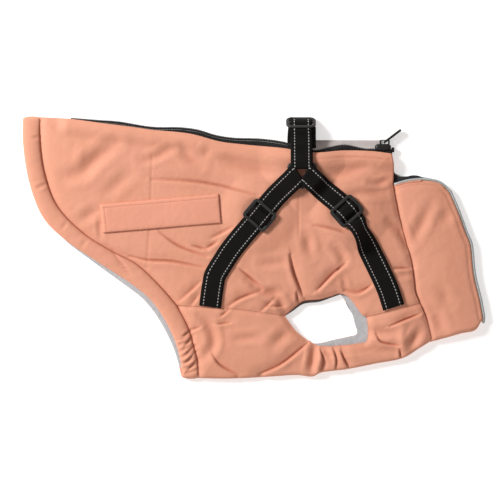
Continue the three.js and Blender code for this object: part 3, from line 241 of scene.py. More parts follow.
CREASE, SWELL, SEAM = FoldKind.CREASE, FoldKind.SWELL, FoldKind.SEAM
FOLDS = (
    Fold(((40, 185), (55, 189), (63, 197), (84, 214)), 6, 2.0),
    Fold(((46, 210), (58, 205)), 7, 0.7, SWELL),
    Fold(((108, 199), (119.5, 201.4), (136, 210)), 3.6, 1.1),
    Fold(((76, 169), (97, 187)), 5.5, 1.0),
    Fold(((52, 144), (69, 155)), 4.4, 1.0),
    Fold(((70, 146), (71, 128)), 2.2, 0.7),
    Fold(((118, 182), (156, 180), (180, 176), (214, 167)), 3.8, 1.3, CREASE),
    Fold(((162, 195), (150, 203), (146, 211)), 4.4, 1.1),
    Fold(((171, 211), (164, 203)), 4, 0.7),
    Fold(((185, 198), (206, 192), (216, 190), (234, 188)), 4.4, 1.3),
    Fold(((126, 133), (143, 121), (168, 111.5)), 3.4, 1.1, CREASE),
    Fold(((155, 121.5), (168, 118)), 2.8, 1.1, CREASE),
    Fold(((167, 119), (177, 125)), 3.2, 1.3, CREASE),
    Fold(((171, 128), (192, 139)), 3.6, 1.0, CREASE),
    Fold(((97, 112), (114, 108.3), (136, 107.3), (166, 101.5)), 3.6, 1.2, CREASE),
    Fold(((142, 71), (152, 80), (163, 90)), 3.0, 1.2, CREASE),
    Fold(((153, 67), (161, 78)), 2.8, 1.0, CREASE),
    Fold(((187, 66.5), (197, 73.3), (216, 80.5)), 3.2, 1.5, CREASE),
    Fold(((216, 85), (198, 100)), 3.2, 1.4, CREASE),
    Fold(((190, 108), (206, 118), (222, 108)), 9, 0.9, SWELL),
    Fold(((217, 105), (240, 106.5)), 3.6, 0.8),
    Fold(((265, 140), (281, 137), (301, 131.8)), 4, 1.1, CREASE),
    Fold(((258, 131), (261.5, 113)), 4.0, 1.2),
    Fold(((243.5, 113), (246.5, 98), (255, 76)), 3.6, 2.0, CREASE),
    Fold(((249.2, 79), (250.4, 70.5)), 2.2, 1.3, CREASE),
    Fold(((268, 81), (281.8, 95.6), (293, 104.5)), 3.4, 1.9, CREASE),
    Fold(((293, 106), (290, 113), (283, 120.5)), 3.6, 1.3),
    Fold(((291.7, 91), (294.4, 82)), 2.4, 0.7),
    Fold(((292.5, 81), (305.5, 78.9), (317, 85.2)), 3.2, 2.0, CREASE),
    Fold(((272, 184.5), (298, 188.8), (311, 193)), 4, 1.2),
    Fold(((332, 181), (325, 178.5), (315, 179)), 2.6, 1.4),
    Fold(((299, 170), (329, 169.6)), 4.0, 1.3),
    Fold(((350, 121), (344, 134), (333, 143.5)), 3.8, 1.4),
    Fold(((337, 101), (353, 101)), 3.2, 1.3, CREASE),
    Fold(((341, 95), (354, 95)), 2.8, 0.8),
    Fold(((206, 90), (219.5, 79.5), (234, 80.5)), 3.6, 1.4),
    Fold(((219, 81), (230, 76), (239.5, 61)), 3.4, 1.3),
    Fold(((216.5, 62), (229.5, 74)), 2.8, 1.1, CREASE),
    Fold(((224, 66.2), (238, 66.6)), 2.4, 1.0, CREASE),
    Fold(((228, 70), (234, 68)), 2.6, 0.9, SWELL),
    Fold(((118, 204), (116, 154), (113, 101)), 0.9, 0.34, SEAM),
    Fold(((251, 177), (251, 131)), 0.9, 0.3, SEAM),
    Fold(((268, 200), (292, 202), (316, 201.6), (334, 199.6)), 1.1, 0.4, SEAM),
    Fold(((98, 94), (90, 105), (81, 117.5)), 3.2, 0.9, CREASE),
    Fold(((9.5, 220), (16.5, 219.5)), 1.6, 0.7),
    Fold(((13, 173.5), (22.5, 178)), 1.8, 0.6),
    Fold(((40, 143), (36, 136)), 1.8, 0.4),
    Fold(((58, 127), (54, 120)), 1.8, 0.4),
    Fold(((153.4, 45.5), (146, 39)), 1.9, 1.1, CREASE),
    Fold(((154.8, 40.5), (147, 29.5)), 1.9, 1.1, CREASE),
    Fold(((157, 31), (147.3, 22.3)), 1.9, 1.0, CREASE),
    Fold(((158.2, 25.7), (147.3, 14.4)), 1.9, 1.1, CREASE),
    Fold(((159, 18.8), (148.4, 6)), 1.9, 1.0, CREASE),
    Fold(((354.5, 126), (361.5, 139), (370, 158)), 4.6, 1.3),
    Fold(((381, 143), (388, 153)), 5, 0.9),
    Fold(((374, 60), (382, 43)), 5, 1.2),
    Fold(((379, 82), (388, 69)), 5, 0.8),
    Fold(((392, 150), (400, 128)), 6, 0.7, SWELL),
    Fold(((266, 30), (264.5, 20), (262, 8)), 3.4, 2.4),
    Fold(((271.5, 27), (273.5, 17), (270.5, 5)), 2.6, 2.0, CREASE),
    Fold(((268.6, 22), (267, 8)), 2.2, 1.0, SWELL),
    Fold(((283, 28), (285.5, 18), (285, 9)), 2.2, 1.3, CREASE),
    Fold(((275, 27), (281, 17)), 2.4, 0.9),
    Fold(((290, 26), (293, 18), (298, 9.5)), 3.0, 1.6, CREASE),
    Fold(((213, 3.5), (233.5, 12.8), (253, 27.6), (259.2, 32.5)), 3.2, 1.8, CREASE),
    Fold(((227.6, 31.5), (241.4, 43.4)), 4.6, 1.3),
    Fold(((173, 22.3), (180.3, 13), (196.5, 3.7)), 3.2, 1.2, CREASE),
    Fold(((193, 37), (216, 38.5)), 3.6, 0.9),
    Fold(((177, 50), (189, 51.5)), 2.4, 0.9, CREASE),
    Fold(((180, 57), (188, 63.5)), 2.4, 1.0, CREASE),
    Fold(((153.5, 44.3), (161.7, 47.8)), 2.4, 0.9, CREASE),
    Fold(((162, 58), (170, 47.8), (173.3, 31.5), (163, 18.8)), 4, 1.6),
    Fold(((306, 27.5), (342, 26.6)), 4.4, 1.1),
    Fold(((314, 44), (343, 42.5)), 3.8, 1.1),
    Fold(((322, 41), (326, 34.5), (342, 30.5)), 3.0, 1.3, CREASE),
    Fold(((345, 49), (345, 34), (346, 22)), 4, 1.5, SWELL),
    Fold(((343, 27), (344.5, 18.5)), 2.6, 1.2, CREASE),
    Fold(((353, 30), (361, 44)), 3.6, 1.6),
    Fold(((334, 48.3), (345, 53.3), (361, 59.2)), 3.0, 1.3, CREASE),
)


def to_frame(points: np.ndarray) -> np.ndarray:
    """Pattern points in millimetres as frame points in metres.

    Args:
        points: an array whose last axis is x, y, z.

    Returns:
        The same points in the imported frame.
    """
    return (points - np.array((LENGTH / 2, HEIGHT / 2, 0.0))) * MILLIMETRE


def ease(value: np.ndarray, start: float, end: float) -> np.ndarray:
    """A smooth step from 0 at start to 1 at end."""
    t = np.clip((value - start) / (end - start), 0, 1)
    return t * t * (3 - 2 * t)


def fade(value: np.ndarray, start: float, end: float) -> np.ndarray:
    """A smooth step from 1 at start to 0 at end."""
    return 1 - ease(value, start, end)


def smooth_max(a: np.ndarray, b: np.ndarray) -> np.ndarray:
    """The greater of two heights, with a rounded join."""
    rounding = 0.25
    return (a + b + np.sqrt((a - b) ** 2 + rounding)) / 2


def resampled(points: np.ndarray, steps: int) -> np.ndarray:
    """Evenly spaced points along a run of points.

    Args:
        points: the run, one point a row.
        steps: how many equal steps to cut it into.

    Returns:
        The steps + 1 points.
    """
    lengths = np.linalg.norm(np.diff(points, axis=0), axis=1)
    sums = np.concatenate(([0.0], np.cumsum(lengths)))
    wanted = np.linspace(0, sums[-1], steps + 1)
    return np.stack([np.interp(wanted, sums, points[:, k]) for k in range(points.shape[1])], axis=1)


def smooth_run(table: Table, per_span: int = 16) -> np.ndarray:
    """A centripetal curve through a table of points.

    Args:
        table: the points, in any number of dimensions.
        per_span: how many steps each span is cut into.

    Returns:
        The curve's points, the last of the table included.
    """
    p = np.array(table, float)
    p = np.vstack([2 * p[0] - p[1], p, 2 * p[-1] - p[-2]])
    t = np.linspace(0, 1, per_span, endpoint=False)[:, None]
    spans = []
    for a, b, c, d in zip(p, p[1:], p[2:], p[3:]):
        before, here, after = (max(np.linalg.norm(q - r), 1e-6) ** 0.5 for q, r in ((b, a), (c, b), (d, c)))
        leave = ((b - a) / before - (c - a) / (before + here) + (c - b) / here) * here
        arrive = ((c - b) / here - (d - b) / (here + after) + (d - c) / after) * here
        spans.append(
            (2 * t**3 - 3 * t**2 + 1) * b + (t**3 - 2 * t**2 + t) * leave
            + (3 * t**2 - 2 * t**3) * c + (t**3 - t**2) * arrive
        )
    return np.vstack([*spans, p[-2][None]])


def along(table: Table, steps: int) -> np.ndarray:
    """Evenly spaced points along the smooth outline through a table."""
    return resampled(smooth_run(table), steps)


def nearest(run: np.ndarray, x: np.ndarray, y: np.ndarray) -> tuple[np.ndarray, np.ndarray]:
    """Signed distance from points to a run, and how far along it the nearest place lies.

    Args:
        run: the run's points x, y.
        x: the points' x.
        y: the points' y.

    Returns:
        The distance, positive on the run's left, and the place from 0 to 1.
    """
    best = np.full(x.shape, np.inf)
    side = np.zeros(x.shape)
    place = np.zeros(x.shape)
    for k in range(len(run) - 1):
        ax, ay = run[k][:2]
        dx, dy = run[k + 1][:2] - run[k][:2]
        t = np.clip(((x - ax) * dx + (y - ay) * dy) / (dx * dx + dy * dy + 1e-12), 0, 1)
        distance = np.hypot(x - ax - t * dx, y - ay - t * dy)
        closer = distance < best
        best = np.where(closer, distance, best)
        side = np.where(closer, np.where(dx * (y - ay) - dy * (x - ax) >= 0, distance, -distance), side)
        place = np.where(closer, (k + t) / (len(run) - 1), place)
    return side, place


def crumple(x: np.ndarray, y: np.ndarray, size: float, seed: float) -> np.ndarray:
    """Uneven small swells of thin cloth, from -1 to 1.

    Args:
        x: the places' x.
        y: the places' y.
        size: about how wide a swell is.
        seed: which of the many patterns to take.

    Returns:
        The swells at those places.
    """
    flat = [noise.noise(Vector((a / size, b / size, seed))) for a, b in zip(x.ravel(), y.ravel())]
    return np.array(flat).reshape(x.shape)


class Form:
    """Heights of the cloth as it lies, from the layers, the padding, the harness and the folds."""

    def __init__(self) -> None:
        self.back = along(BACK_EDGE, 60)
        self.leg_hole = np.vstack([along(LEG_TOP_NEAR, 30), along(LEG_LOW_NEAR, 30)[::-1]])
        self.casing_seam = np.vstack([along(CASING_SEAM_SIDE, 30), along(CASING_SEAM_BELLY, 10)])
        self.collar_seam = np.vstack([along(COLLAR_SEAM_SIDE, 20), along(COLLAR_SEAM_BELLY, 6)])
        self.belly_seams = (along(SEAM_REAR_NEAR, 12), along(SEAM_FRONT_NEAR, 8))
        self.outline = np.vstack([
            self.back, along(NECK_EDGE, 6), self.collar_seam, along(BELLY_EDGE, 30)[::-1], self.casing_seam[::-1],
        ])
        self.fold_runs = [(fold, along(fold.line, 12)) for fold in FOLDS]
        riser = np.array(((253.6, 184.0), (253.6, 210.0)))
        self.near_straps = [*(along(strap.route, 24) for strap in STRAPS if not strap.far), riser]
        self.far_straps = [*(along(strap.route, 24) for strap in STRAPS if strap.far), riser]
        self.far_hardware = [(254.2, 187.0), *(strap.glide_spot() for strap in STRAPS if strap.far)]
        self.near_glides = [strap.glide_spot() for strap in STRAPS if not strap.far]

    @staticmethod
    def away(runs: Sequence[np.ndarray], x: np.ndarray, y: np.ndarray) -> np.ndarray:
        """Distance to the nearest of several runs."""
        return np.min([np.abs(nearest(run, x, y)[0]) for run in runs], axis=0)

    def back_at(self, x: np.ndarray) -> np.ndarray:
        """The height y of the back edge at x."""
        return np.interp(x, self.back[:, 0], self.back[:, 1])

    def lift(self, x: np.ndarray, y: np.ndarray) -> np.ndarray:
        """How far the far layer is raised over the harness that it lies on."""
        strap = self.away(self.far_straps, x, y)
        hardware = np.min([np.hypot(x - hx, y - hy) for hx, hy in self.far_hardware], axis=0)
        return np.maximum(STRAP_LIFT * fade(strap, *STRAP_FADE), HARDWARE_LIFT * fade(hardware, *HARDWARE_FADE))

    def puff(self, x: np.ndarray, y: np.ndarray) -> np.ndarray:
        """How far the padding swells the near layer, from nothing at its edges and seams."""
        edge = self.away([self.outline, self.leg_hole], x, y)
        return PUFF * (1 - np.exp(-edge / PUFF_REACH))

    def near_inner(self, x: np.ndarray, y: np.ndarray) -> np.ndarray:
        """The near layer's lower face."""
        back = np.abs(nearest(self.back, x, y)[0])
        room = ZIP_ROOM * fade(back, 7, 18) * ease(x, 30, 42)
        return NEAR_LOW + smooth_max(PUFF_UNDER * self.puff(x, y), self.lift(x, y)) + room

    def shade(self, x: np.ndarray, y: np.ndarray) -> np.ndarray:
        """How much painted shade darkens the cloth along its creases and sewn lines, from 0 to 1."""
        total = np.zeros(x.shape)
        for fold, run in self.fold_runs:
            side, place = nearest(run, x, y)
            total += (0.3 + 0.7 * np.sin(np.pi * place)) * fold.shade(side)
        # The sewn seams of the casing, the collar and the belly get painted shade along their ditches too.
        for run, strength in ((self.casing_seam, 0.85), (self.collar_seam, 0.8), *((b, 0.3) for b in self.belly_seams)):
            total += strength * np.exp(-((nearest(run, x, y)[0] / 0.8) ** 2))
        return np.minimum(total, 1.0)

    def folds(self, x: np.ndarray, y: np.ndarray, sewn: bool = True) -> np.ndarray:
        """The folds, flattened where the harness presses on them.

        Args:
            x: the places' x.
            y: the places' y.
            sewn: whether the fine sewn lines are among them.

        Returns:
            How far the cloth is raised or sunk at each place.
        """
        total = np.zeros(x.shape)
        for fold, run in self.fold_runs:
            if fold.kind is FoldKind.SEAM and not sewn:
                continue
            reach = 3.2 * fold.half
            inside = (x > run[:, 0].min() - reach) & (x < run[:, 0].max() + reach)
            inside &= (y > run[:, 1].min() - reach) & (y < run[:, 1].max() + reach)
            if not inside.any():
                continue
            side, place = nearest(run, x[inside], y[inside])
            ends = 1.0 if fold.kind is FoldKind.SEAM else 0.35 + 0.65 * np.sin(np.pi * place)
            total[inside] += ends * fold.section(side) * fade(np.abs(side), 2.2 * fold.half, reach)
        pressed = fade(self.away(self.near_straps, x, y), 8, 14)
        return FOLD_DEPTH * total * (1 - 0.75 * pressed)

    def near_outer(self, x: np.ndarray, y: np.ndarray, creased: float = 1.0) -> np.ndarray:
        """The near layer's upper face, with its folds and the small swells between them.

        Args:
            x: the places' x.
            y: the places' y.
            creased: how much of the folds is in it; below 1 the sewn lines are left out.

        Returns:
            The heights.
        """
        free = self.away([self.back, self.leg_hole], x, y)
        belly = self.away(self.belly_seams, x, y)
        casing = np.abs(nearest(self.casing_seam, x, y)[0])
        collar = np.abs(nearest(self.collar_seam, x, y)[0])
        chest = ease(x, 180, 230) * fade(y, 150, 190) + 0.8 * fade(y, 60, 90)
        small = (0.42 + 0.3 * np.minimum(chest, 1)) * crumple(x, y, 34, 2.0)
        small += (0.05 + 0.13 * np.minimum(chest, 1)) * crumple(x, y, 11, 7.0)
        sunk = 1.5 * np.exp(-((free / 3) ** 2)) + 0.8 * np.exp(-((belly / 2.6) ** 2))
        sunk += 1.7 * np.exp(-((casing / 3.4) ** 2)) + 1.1 * np.exp(-((collar / 2.8) ** 2))
        for gx, gy in self.near_glides:
            sunk += GLIDE_DENT * fade(np.hypot(x - gx, y - gy), 12, 19)
        inner = self.near_inner(x, y)
        body = inner + NEAR_WALL + (1 - PUFF_UNDER) * self.puff(x, y)
        wrinkled = creased * (self.folds(x, y, creased == 1.0) + small)
        return np.maximum(body + wrinkled - sunk, inner + THINNEST)


def shares(points: np.ndarray) -> np.ndarray:
    """How far along a run each of its points lies, from 0 to 1."""
    sums = np.concatenate(([0.0], np.cumsum(np.linalg.norm(np.diff(points, axis=0), axis=1))))
    return sums / sums[-1]


def net(low: np.ndarray, high: np.ndarray, left: np.ndarray, right: np.ndarray, overlap: str = "") -> np.ndarray:
    """A net of pattern points between four edges that meet at their ends.

    Args:
        low: the low edge, from left to right.
        high: the high edge, from left to right.
        left: the left edge, from low to high.
        right: the right edge, from low to high.
        overlap: the words low, high, left and right for the edges that reach under a seam.

    Returns:
        An array of points, first along the low edge and then up from it.
    """
    u = ((shares(low) + shares(high)) / 2)[:, None, None]
    v = ((shares(left) + shares(right)) / 2)[None, :, None]
    across = low[:, None] * (1 - v) + high[:, None] * v
    upward = left[None] * (1 - u) + right[None] * u
    corners = (low[0] * (1 - u) + low[-1] * u) * (1 - v) + (high[0] * (1 - u) + high[-1] * u) * v
    points = across + upward - corners
    for edge, (here, inside) in {
        "low": (np.s_[:, 0], np.s_[:, 1]), "high": (np.s_[:, -1], np.s_[:, -2]),
        "left": (np.s_[0, :], np.s_[1, :]), "right": (np.s_[-1, :], np.s_[-2, :]),
    }.items():
        if edge in overlap:
            out = points[here] - points[inside]
            points[here] += SEAM_OVERLAP * out / np.linalg.norm(out, axis=-1, keepdims=True)
    return points


def raised(points: np.ndarray, height: Height | float) -> np.ndarray:
    """Points x, y with their heights.

    Args:
        points: the points x, y.
        height: the height of each, or one height for all.

    Returns:
        The points x, y, z.
    """
    x, y = points[..., 0], points[..., 1]
    z = height(x, y) if callable(height) else np.full(x.shape, float(height))
    return np.stack([x, y, z], axis=-1)


def folded(near: np.ndarray, far: np.ndarray, turns: int, sag: float) -> np.ndarray:
    """A net that lies near, turns round a fold at its low edge and lies far.

    Args:
        near: the near net, up from the fold.
        far: the far net, up from the fold.
        turns: how many steps the fold has.
        sag: how far the fold reaches past its two edges.

    Returns:
        One net, from the near layer's top to the far layer's top.
    """
    angles = np.linspace(0, np.pi, turns + 1)[1:-1][None, :, None]
    top, bottom = near[:, :1], far[:, :1]
    arc = (top + bottom) / 2 + (top - bottom) / 2 * np.cos(angles)
    arc = arc - np.array((0.0, sag, 0.0)) * np.sin(angles)
    return np.concatenate([near[:, ::-1], arc, far], axis=1)


@dataclass(frozen=True)
class Wrap:
    """How a net closes on itself, along its first and its second direction."""

    first: bool = False
    second: bool = False


def adopt(mesh: bpy.types.Mesh, name: str, body: str = "coat") -> bpy.types.Object:
    """Makes a finished mesh a named piece that rides on a body of the coat.

    Args:
        mesh: the mesh, in the frame.
        name: the piece's name.
        body: the CAD body that it moves with.

    Returns:
        The piece.
    """
    piece = bpy.data.objects.new(name, mesh)
    bpy.context.scene.collection.objects.link(piece)
    mesh.polygons.foreach_set("use_smooth", [True] * len(mesh.polygons))
    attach(piece, body)
    return piece


def piece_of(bm: bmesh.types.BMesh, name: str, body: str = "coat") -> bpy.types.Object:
    """Turns a bmesh into a piece and frees it."""
    mesh = bpy.data.meshes.new(name)
    bm.to_mesh(mesh)
    bm.free()
    return adopt(mesh, name, body)


def cloth(name: str, points: np.ndarray, outwards: bool = True, wrap: Wrap = Wrap()) -> bpy.types.Object:
    """A cloth surface through a net of pattern points.

    Args:
        name: the piece's name.
        points: the net, x, y, z in millimetres.
        outwards: whether the net's first and second directions turn left round the outside.
        wrap: the directions in which it closes on itself.

    Returns:
        The piece, one face thick.
    """
    first, second = points.shape[0] - 1, points.shape[1] - 1
    bm = bmesh.new()
    bmesh.ops.create_grid(bm, x_segments=first, y_segments=second, size=0.5)
    placed = to_frame(points)
    run = bm.loops.layers.uv.new("run")
    spans = np.linalg.norm(np.diff(points, axis=0), axis=-1).mean(axis=1)
    lengths = np.concatenate(([0.0], np.cumsum(spans))) * MILLIMETRE
    widths = np.linspace(-0.5, 0.5, second + 1)
    index = {}
    for vert in bm.verts:
        i, j = round((vert.co.x + 0.5) * first), round((vert.co.y + 0.5) * second)
        index[vert] = (i, j)
        vert.co = Vector(placed[i, j])
    for face in bm.faces:
        for loop in face.loops:
            i, j = index[loop.vert]
            loop[run].uv = (lengths[i], widths[j])
    if wrap.first or wrap.second:
        bmesh.ops.remove_doubles(bm, verts=bm.verts, dist=1e-6)
    if not outwards:
        bmesh.ops.reverse_faces(bm, faces=bm.faces)
    return piece_of(bm, name)


def creased(piece: bpy.types.Object, form: Form) -> bpy.types.Object:
    """Stores where a piece's upper face is creased, as the share of painted shade that its finish darkens it by there.
    """
    places = np.empty(3 * len(piece.data.vertices))
    piece.data.vertices.foreach_get("co", places)
    x, y, z = (places.reshape(-1, 3) / MILLIMETRE + np.array((LENGTH / 2, HEIGHT / 2, 0.0))).T
    shade_layer = piece.data.attributes.new("crease_shade", "FLOAT", "POINT")
    # Painted shade along the folds and seams, kept to the upper layer.
    shade_layer.data.foreach_set("value", form.shade(x, y) * ease(z, 4.5, 6.5))
    return piece


def walled(piece: bpy.types.Object, thick: float, offset: float = -1.0) -> bpy.types.Object:
    """Gives a surface its thickness in millimetres, by default inwards from its outside."""
    wall = piece.modifiers.new("wall", "SOLIDIFY")
    wall.thickness = thick * MILLIMETRE
    wall.offset = offset
    wall.use_even_offset = False
    return piece


def softened(
    node: str, name: str, rounding: float, body: str = "coat", narrowed: tuple[Vector, Vector] | None = None,
    swollen: float = 0.0,
) -> bpy.types.Object:
    """A copy of a CAD node with its sharp edges rounded, which stands for the node.

    Args:
        node: the CAD node.
        name: the new piece's name.
        rounding: the edges' rounding in millimetres.
        body: the CAD body that it moves with.
        narrowed: the middle of a tri-glide and the direction across it, to narrow its slots to the webbing.
        swollen: how much thicker it is than the node, in millimetres on each face.

    Returns:
        The piece.
    """
    bm = bmesh.new()
    bm.from_mesh(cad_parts[node].data)
    bmesh.ops.remove_doubles(bm, verts=bm.verts, dist=1e-6)
    bmesh.ops.dissolve_limit(bm, angle_limit=math.radians(3), verts=bm.verts, edges=bm.edges)
    if narrowed:
        middle, across = narrowed
        for vert in bm.verts:
            away = (vert.co - middle).dot(across)
            if 0.009 < abs(away) < 0.0109:
                vert.co += across * (math.copysign(GLIDE_HOLE / 2 * MILLIMETRE, away) - away)
    sharp = [e for e in bm.edges if e.is_manifold and e.calc_face_angle(0.0) > math.radians(28)]
    bmesh.ops.bevel(
        bm, geom=sharp, offset=rounding * MILLIMETRE, offset_type="OFFSET", segments=3, profile=0.5,
        affect="EDGES", material=-1, clamp_overlap=True,
    )
    bm.normal_update()
    for vert in bm.verts:
        vert.co += vert.normal * swollen * MILLIMETRE
    piece = piece_of(bm, name, body)
    piece.modifiers.new("even shading", "WEIGHTED_NORMAL")
    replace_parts(piece, node)
    return piece


class Board:
    """The node board of one material, with short calls to add and link its nodes."""

    def __init__(self, name: str) -> None:
        self.material = bpy.data.materials.new(name)
        self.material.use_nodes = True
        self.tree = self.material.node_tree
        self.shader = self.tree.nodes["Principled BSDF"]

    def add(self, kind: str, **values: object) -> bpy.types.Node:
        """Adds a node and sets its properties, or its sockets where the name is a socket's.

        Args:
            kind: the node's type.
            values: its properties and socket values.

        Returns:
            The node.
        """
        node = self.tree.nodes.new(kind)
        for key, value in values.items():
            if key in node.inputs:
                node.inputs[key].default_value = value
            else:
                setattr(node, key, value)
        return node

    def link(self, source: bpy.types.NodeSocket, target: bpy.types.NodeSocket) -> None:
        """Links one socket to another."""
        self.tree.links.new(source, target)

    def place(self) -> bpy.types.NodeSocket:
        """The Object coordinates, which are the frame's metres."""
        return self.add("ShaderNodeTexCoord").outputs["Object"]

    def math(self, operation: str, *values: object) -> bpy.types.NodeSocket:
        """A Math node on sockets and numbers.

        Args:
            operation: what it works out.
            values: its inputs in order.

        Returns:
            The result's socket.
        """
        node = self.add("ShaderNodeMath", operation=operation)
        for socket, value in zip(node.inputs, values):
            if isinstance(value, bpy.types.NodeSocket):
                self.link(value, socket)
            else:
                socket.default_value = value
        return node.outputs[0]

    def noise(self, size: float, detail: float = 3.0, where: bpy.types.NodeSocket | None = None) -> bpy.types.NodeSocket:
        """A cloudy pattern with clouds about size metres wide."""
        node = self.add("ShaderNodeTexNoise", Scale=1 / size, Detail=detail)
        self.link(where or self.place(), node.inputs["Vector"])
        return node.outputs[0]

    def ribs(self, pitch: float, direction: str, where: bpy.types.NodeSocket | None = None) -> bpy.types.NodeSocket:
        """Even ribs a pitch of metres apart, across the direction X, Y or Z."""
        turn = 2 * math.pi / 20
        node = self.add("ShaderNodeTexWave", bands_direction=direction, Scale=turn / pitch)
        self.link(where or self.place(), node.inputs["Vector"])
        return node.outputs["Fac"]

    def relief(self, heights: Sequence[tuple[bpy.types.NodeSocket, float]]) -> None:
        """Adds bumps, each a pattern and its depth in metres, one over the other."""
        last = None
        for pattern, depth in heights:
            bump = self.add("ShaderNodeBump", Strength=1.0, Distance=depth)
            self.link(pattern, bump.inputs["Height"])
            if last is not None:
                self.link(last.outputs["Normal"], bump.inputs["Normal"])
            last = bump
        self.link(last.outputs["Normal"], self.shader.inputs["Normal"])

    def blend(self, share: bpy.types.NodeSocket, first: Colour, second: Colour) -> bpy.types.NodeSocket:
        """A colour between two, by a share."""
        mix = self.add("ShaderNodeMix", data_type="RGBA")
        self.link(share, mix.inputs[0])
        for socket, colour in ((mix.inputs[6], first), (mix.inputs[7], second)):
            if isinstance(colour, bpy.types.NodeSocket):
                self.link(colour, socket)
            else:
                socket.default_value = (*colour, 1.0)
        return mix.outputs[2]


@dataclass(frozen=True)
class ShellCloth:
    """The coat's plain-woven outer cloth, slightly crumpled over its padding, with painted shade along its creases and
    seams.

    Args:
        name: the finish's name.
        light: its colour where it is lightest.
        deep: its colour where it is deepest.
        roughness: how matt it is.
        shade: the painted shade colour that it is darkened towards along its creases and seams.
    """

    name: str
    light: tuple[float, float, float]
    deep: tuple[float, float, float]
    roughness: float = 0.62
    shade: tuple[float, float, float] = (0.36, 0.085, 0.04)

    def material(self) -> bpy.types.Material:
        """Builds the node material."""
        board = Board(self.name)
        shader = board.shader
        shader.inputs["Roughness"].default_value = self.roughness
        shader.inputs["Sheen Weight"].default_value = 0.06
        shader.inputs["Sheen Roughness"].default_value = 0.45
        shader.inputs["Specular IOR Level"].default_value = 0.22
        mottled = board.math("MULTIPLY_ADD", board.noise(0.045, 4), 1.6, -0.3)
        # Painted shade: the colour is pulled towards the shade colour along folds and seams, by the share stored on the
        # cloth.
        crease_shade = board.add("ShaderNodeAttribute", attribute_name="crease_shade").outputs["Fac"]
        colour = board.blend(board.math("MULTIPLY", crease_shade, 0.75), board.blend(mottled, self.deep, self.light), self.shade)
        board.link(colour, shader.inputs["Base Color"])
        weave = board.math("MULTIPLY", board.ribs(0.0004, "X"), board.ribs(0.0004, "Y"))
        board.relief(((board.noise(0.016, 2), 0.0007), (board.noise(0.004, 2), 0.00012), (weave, 0.00004)))
        return board.material


@dataclass(frozen=True)
class Fleece:
    """Short-piled fleece, soft and matt, with painted shade between its pile.

    Args:
        name: the finish's name.
        light: the colour of its raised pile.
        deep: painted shade between the pile, where its bumps are low.
        pile: how deep its pile is, in metres.
    """

    name: str
    light: tuple[float, float, float]
    deep: tuple[float, float, float]
    pile: float = 0.0006

    def material(self) -> bpy.types.Material:
        """Builds the node material."""
        board = Board(self.name)
        shader = board.shader
        shader.inputs["Roughness"].default_value = 0.95
        shader.inputs["Sheen Weight"].default_value = 0.5
        shader.inputs["Specular IOR Level"].default_value = 0.15
        tufts = board.noise(0.0022, 4)
        # Painted shade: the same tufts that raise the pile darken it in the hollows between them.
        board.link(board.blend(tufts, self.deep, self.light), shader.inputs["Base Color"])
        board.relief(((board.noise(0.006, 3), self.pile), (tufts, self.pile * 0.7)))
        return board.material


@dataclass(frozen=True)
class Webbing:
    """Black ribbed webbing with a row of bright reflective dashes near each edge.

    Args:
        name: the finish's name.
        row: how far each row lies from the middle, as a share of the width.
        dash: the pitch of the dashes, in metres.
    """

    name: str
    row: float = 0.318
    dash: float = 0.0029

    def material(self) -> bpy.types.Material:
        """Builds the node material."""
        board = Board(self.name)
        shader = board.shader
        shader.inputs["Specular IOR Level"].default_value = 0.12
        run = board.add("ShaderNodeUVMap", uv_map="run").outputs["UV"]
        split = board.add("ShaderNodeSeparateXYZ")
        board.link(run, split.inputs[0])
        length, across = split.outputs["X"], split.outputs["Y"]
        beside = board.math("COMPARE", board.math("ABSOLUTE", across), self.row, 0.019)
        place = board.math("FRACT", board.math("DIVIDE", length, self.dash))
        dashes = board.math("MULTIPLY", beside, board.math("LESS_THAN", place, 0.56))
        slub = board.blend(board.noise(0.0012, 3), (0.004, 0.0035, 0.003), (0.012, 0.0105, 0.0095))
        board.link(board.blend(dashes, slub, (0.5, 0.5, 0.49)), shader.inputs["Base Color"])
        board.link(board.math("MULTIPLY_ADD", dashes, -0.45, 0.85), shader.inputs["Roughness"])
        ribs = board.math("SINE", board.math("MULTIPLY", length, 2 * math.pi / 0.0011))
        cords = board.math("SINE", board.math("MULTIPLY", across, 2 * math.pi * 14))
        board.relief(((board.math("MULTIPLY", ribs, cords), 0.00014), (dashes, 0.00012)))
        return board.material


@dataclass(frozen=True)
class Moulded:
    """Moulded plastic or painted metal, faintly grained, a little polished where it is handled.

    Args:
        name: the finish's name.
        colour: its colour.
        roughness: how matt it is.
        metal: how metallic it is.
    """

    name: str
    colour: tuple[float, float, float]
    roughness: float
    metal: float = 0.0

    def material(self) -> bpy.types.Material:
        """Builds the node material."""
        board = Board(self.name)
        shader = board.shader
        shader.inputs["Metallic"].default_value = self.metal
        worn = tuple(channel * 1.5 + 0.006 for channel in self.colour)
        cloud = board.noise(0.007, 4)
        board.link(board.blend(cloud, self.colour, worn), shader.inputs["Base Color"])
        board.link(board.math("MULTIPLY_ADD", cloud, 0.25, self.roughness - 0.12), shader.inputs["Roughness"])
        board.relief(((board.noise(0.0006, 2), 0.00005),))
        return board.material


@dataclass(frozen=True)
class Tape:
    """Flat woven tape with fine ribs.

    Args:
        name: the finish's name.
        colour: its colour.
        roughness: how matt it is.
        glint: how metallic its threads look.
    """

    name: str
    colour: tuple[float, float, float]
    roughness: float = 0.8
    glint: float = 0.0

    def material(self) -> bpy.types.Material:
        """Builds the node material."""
        board = Board(self.name)
        shader = board.shader
        shader.inputs["Metallic"].default_value = self.glint
        shader.inputs["Roughness"].default_value = self.roughness
        shader.inputs["Specular IOR Level"].default_value = 0.35
        pale = tuple(min(1.0, channel * 1.25 + 0.004) for channel in self.colour)
        board.link(board.blend(board.noise(0.004, 3), self.colour, pale), shader.inputs["Base Color"])
        weave = board.math("MULTIPLY", board.ribs(0.0008, "X"), board.ribs(0.0008, "Y"))
        board.relief(((board.noise(0.005, 2), 0.00025), (weave, 0.0001)))
        return board.material


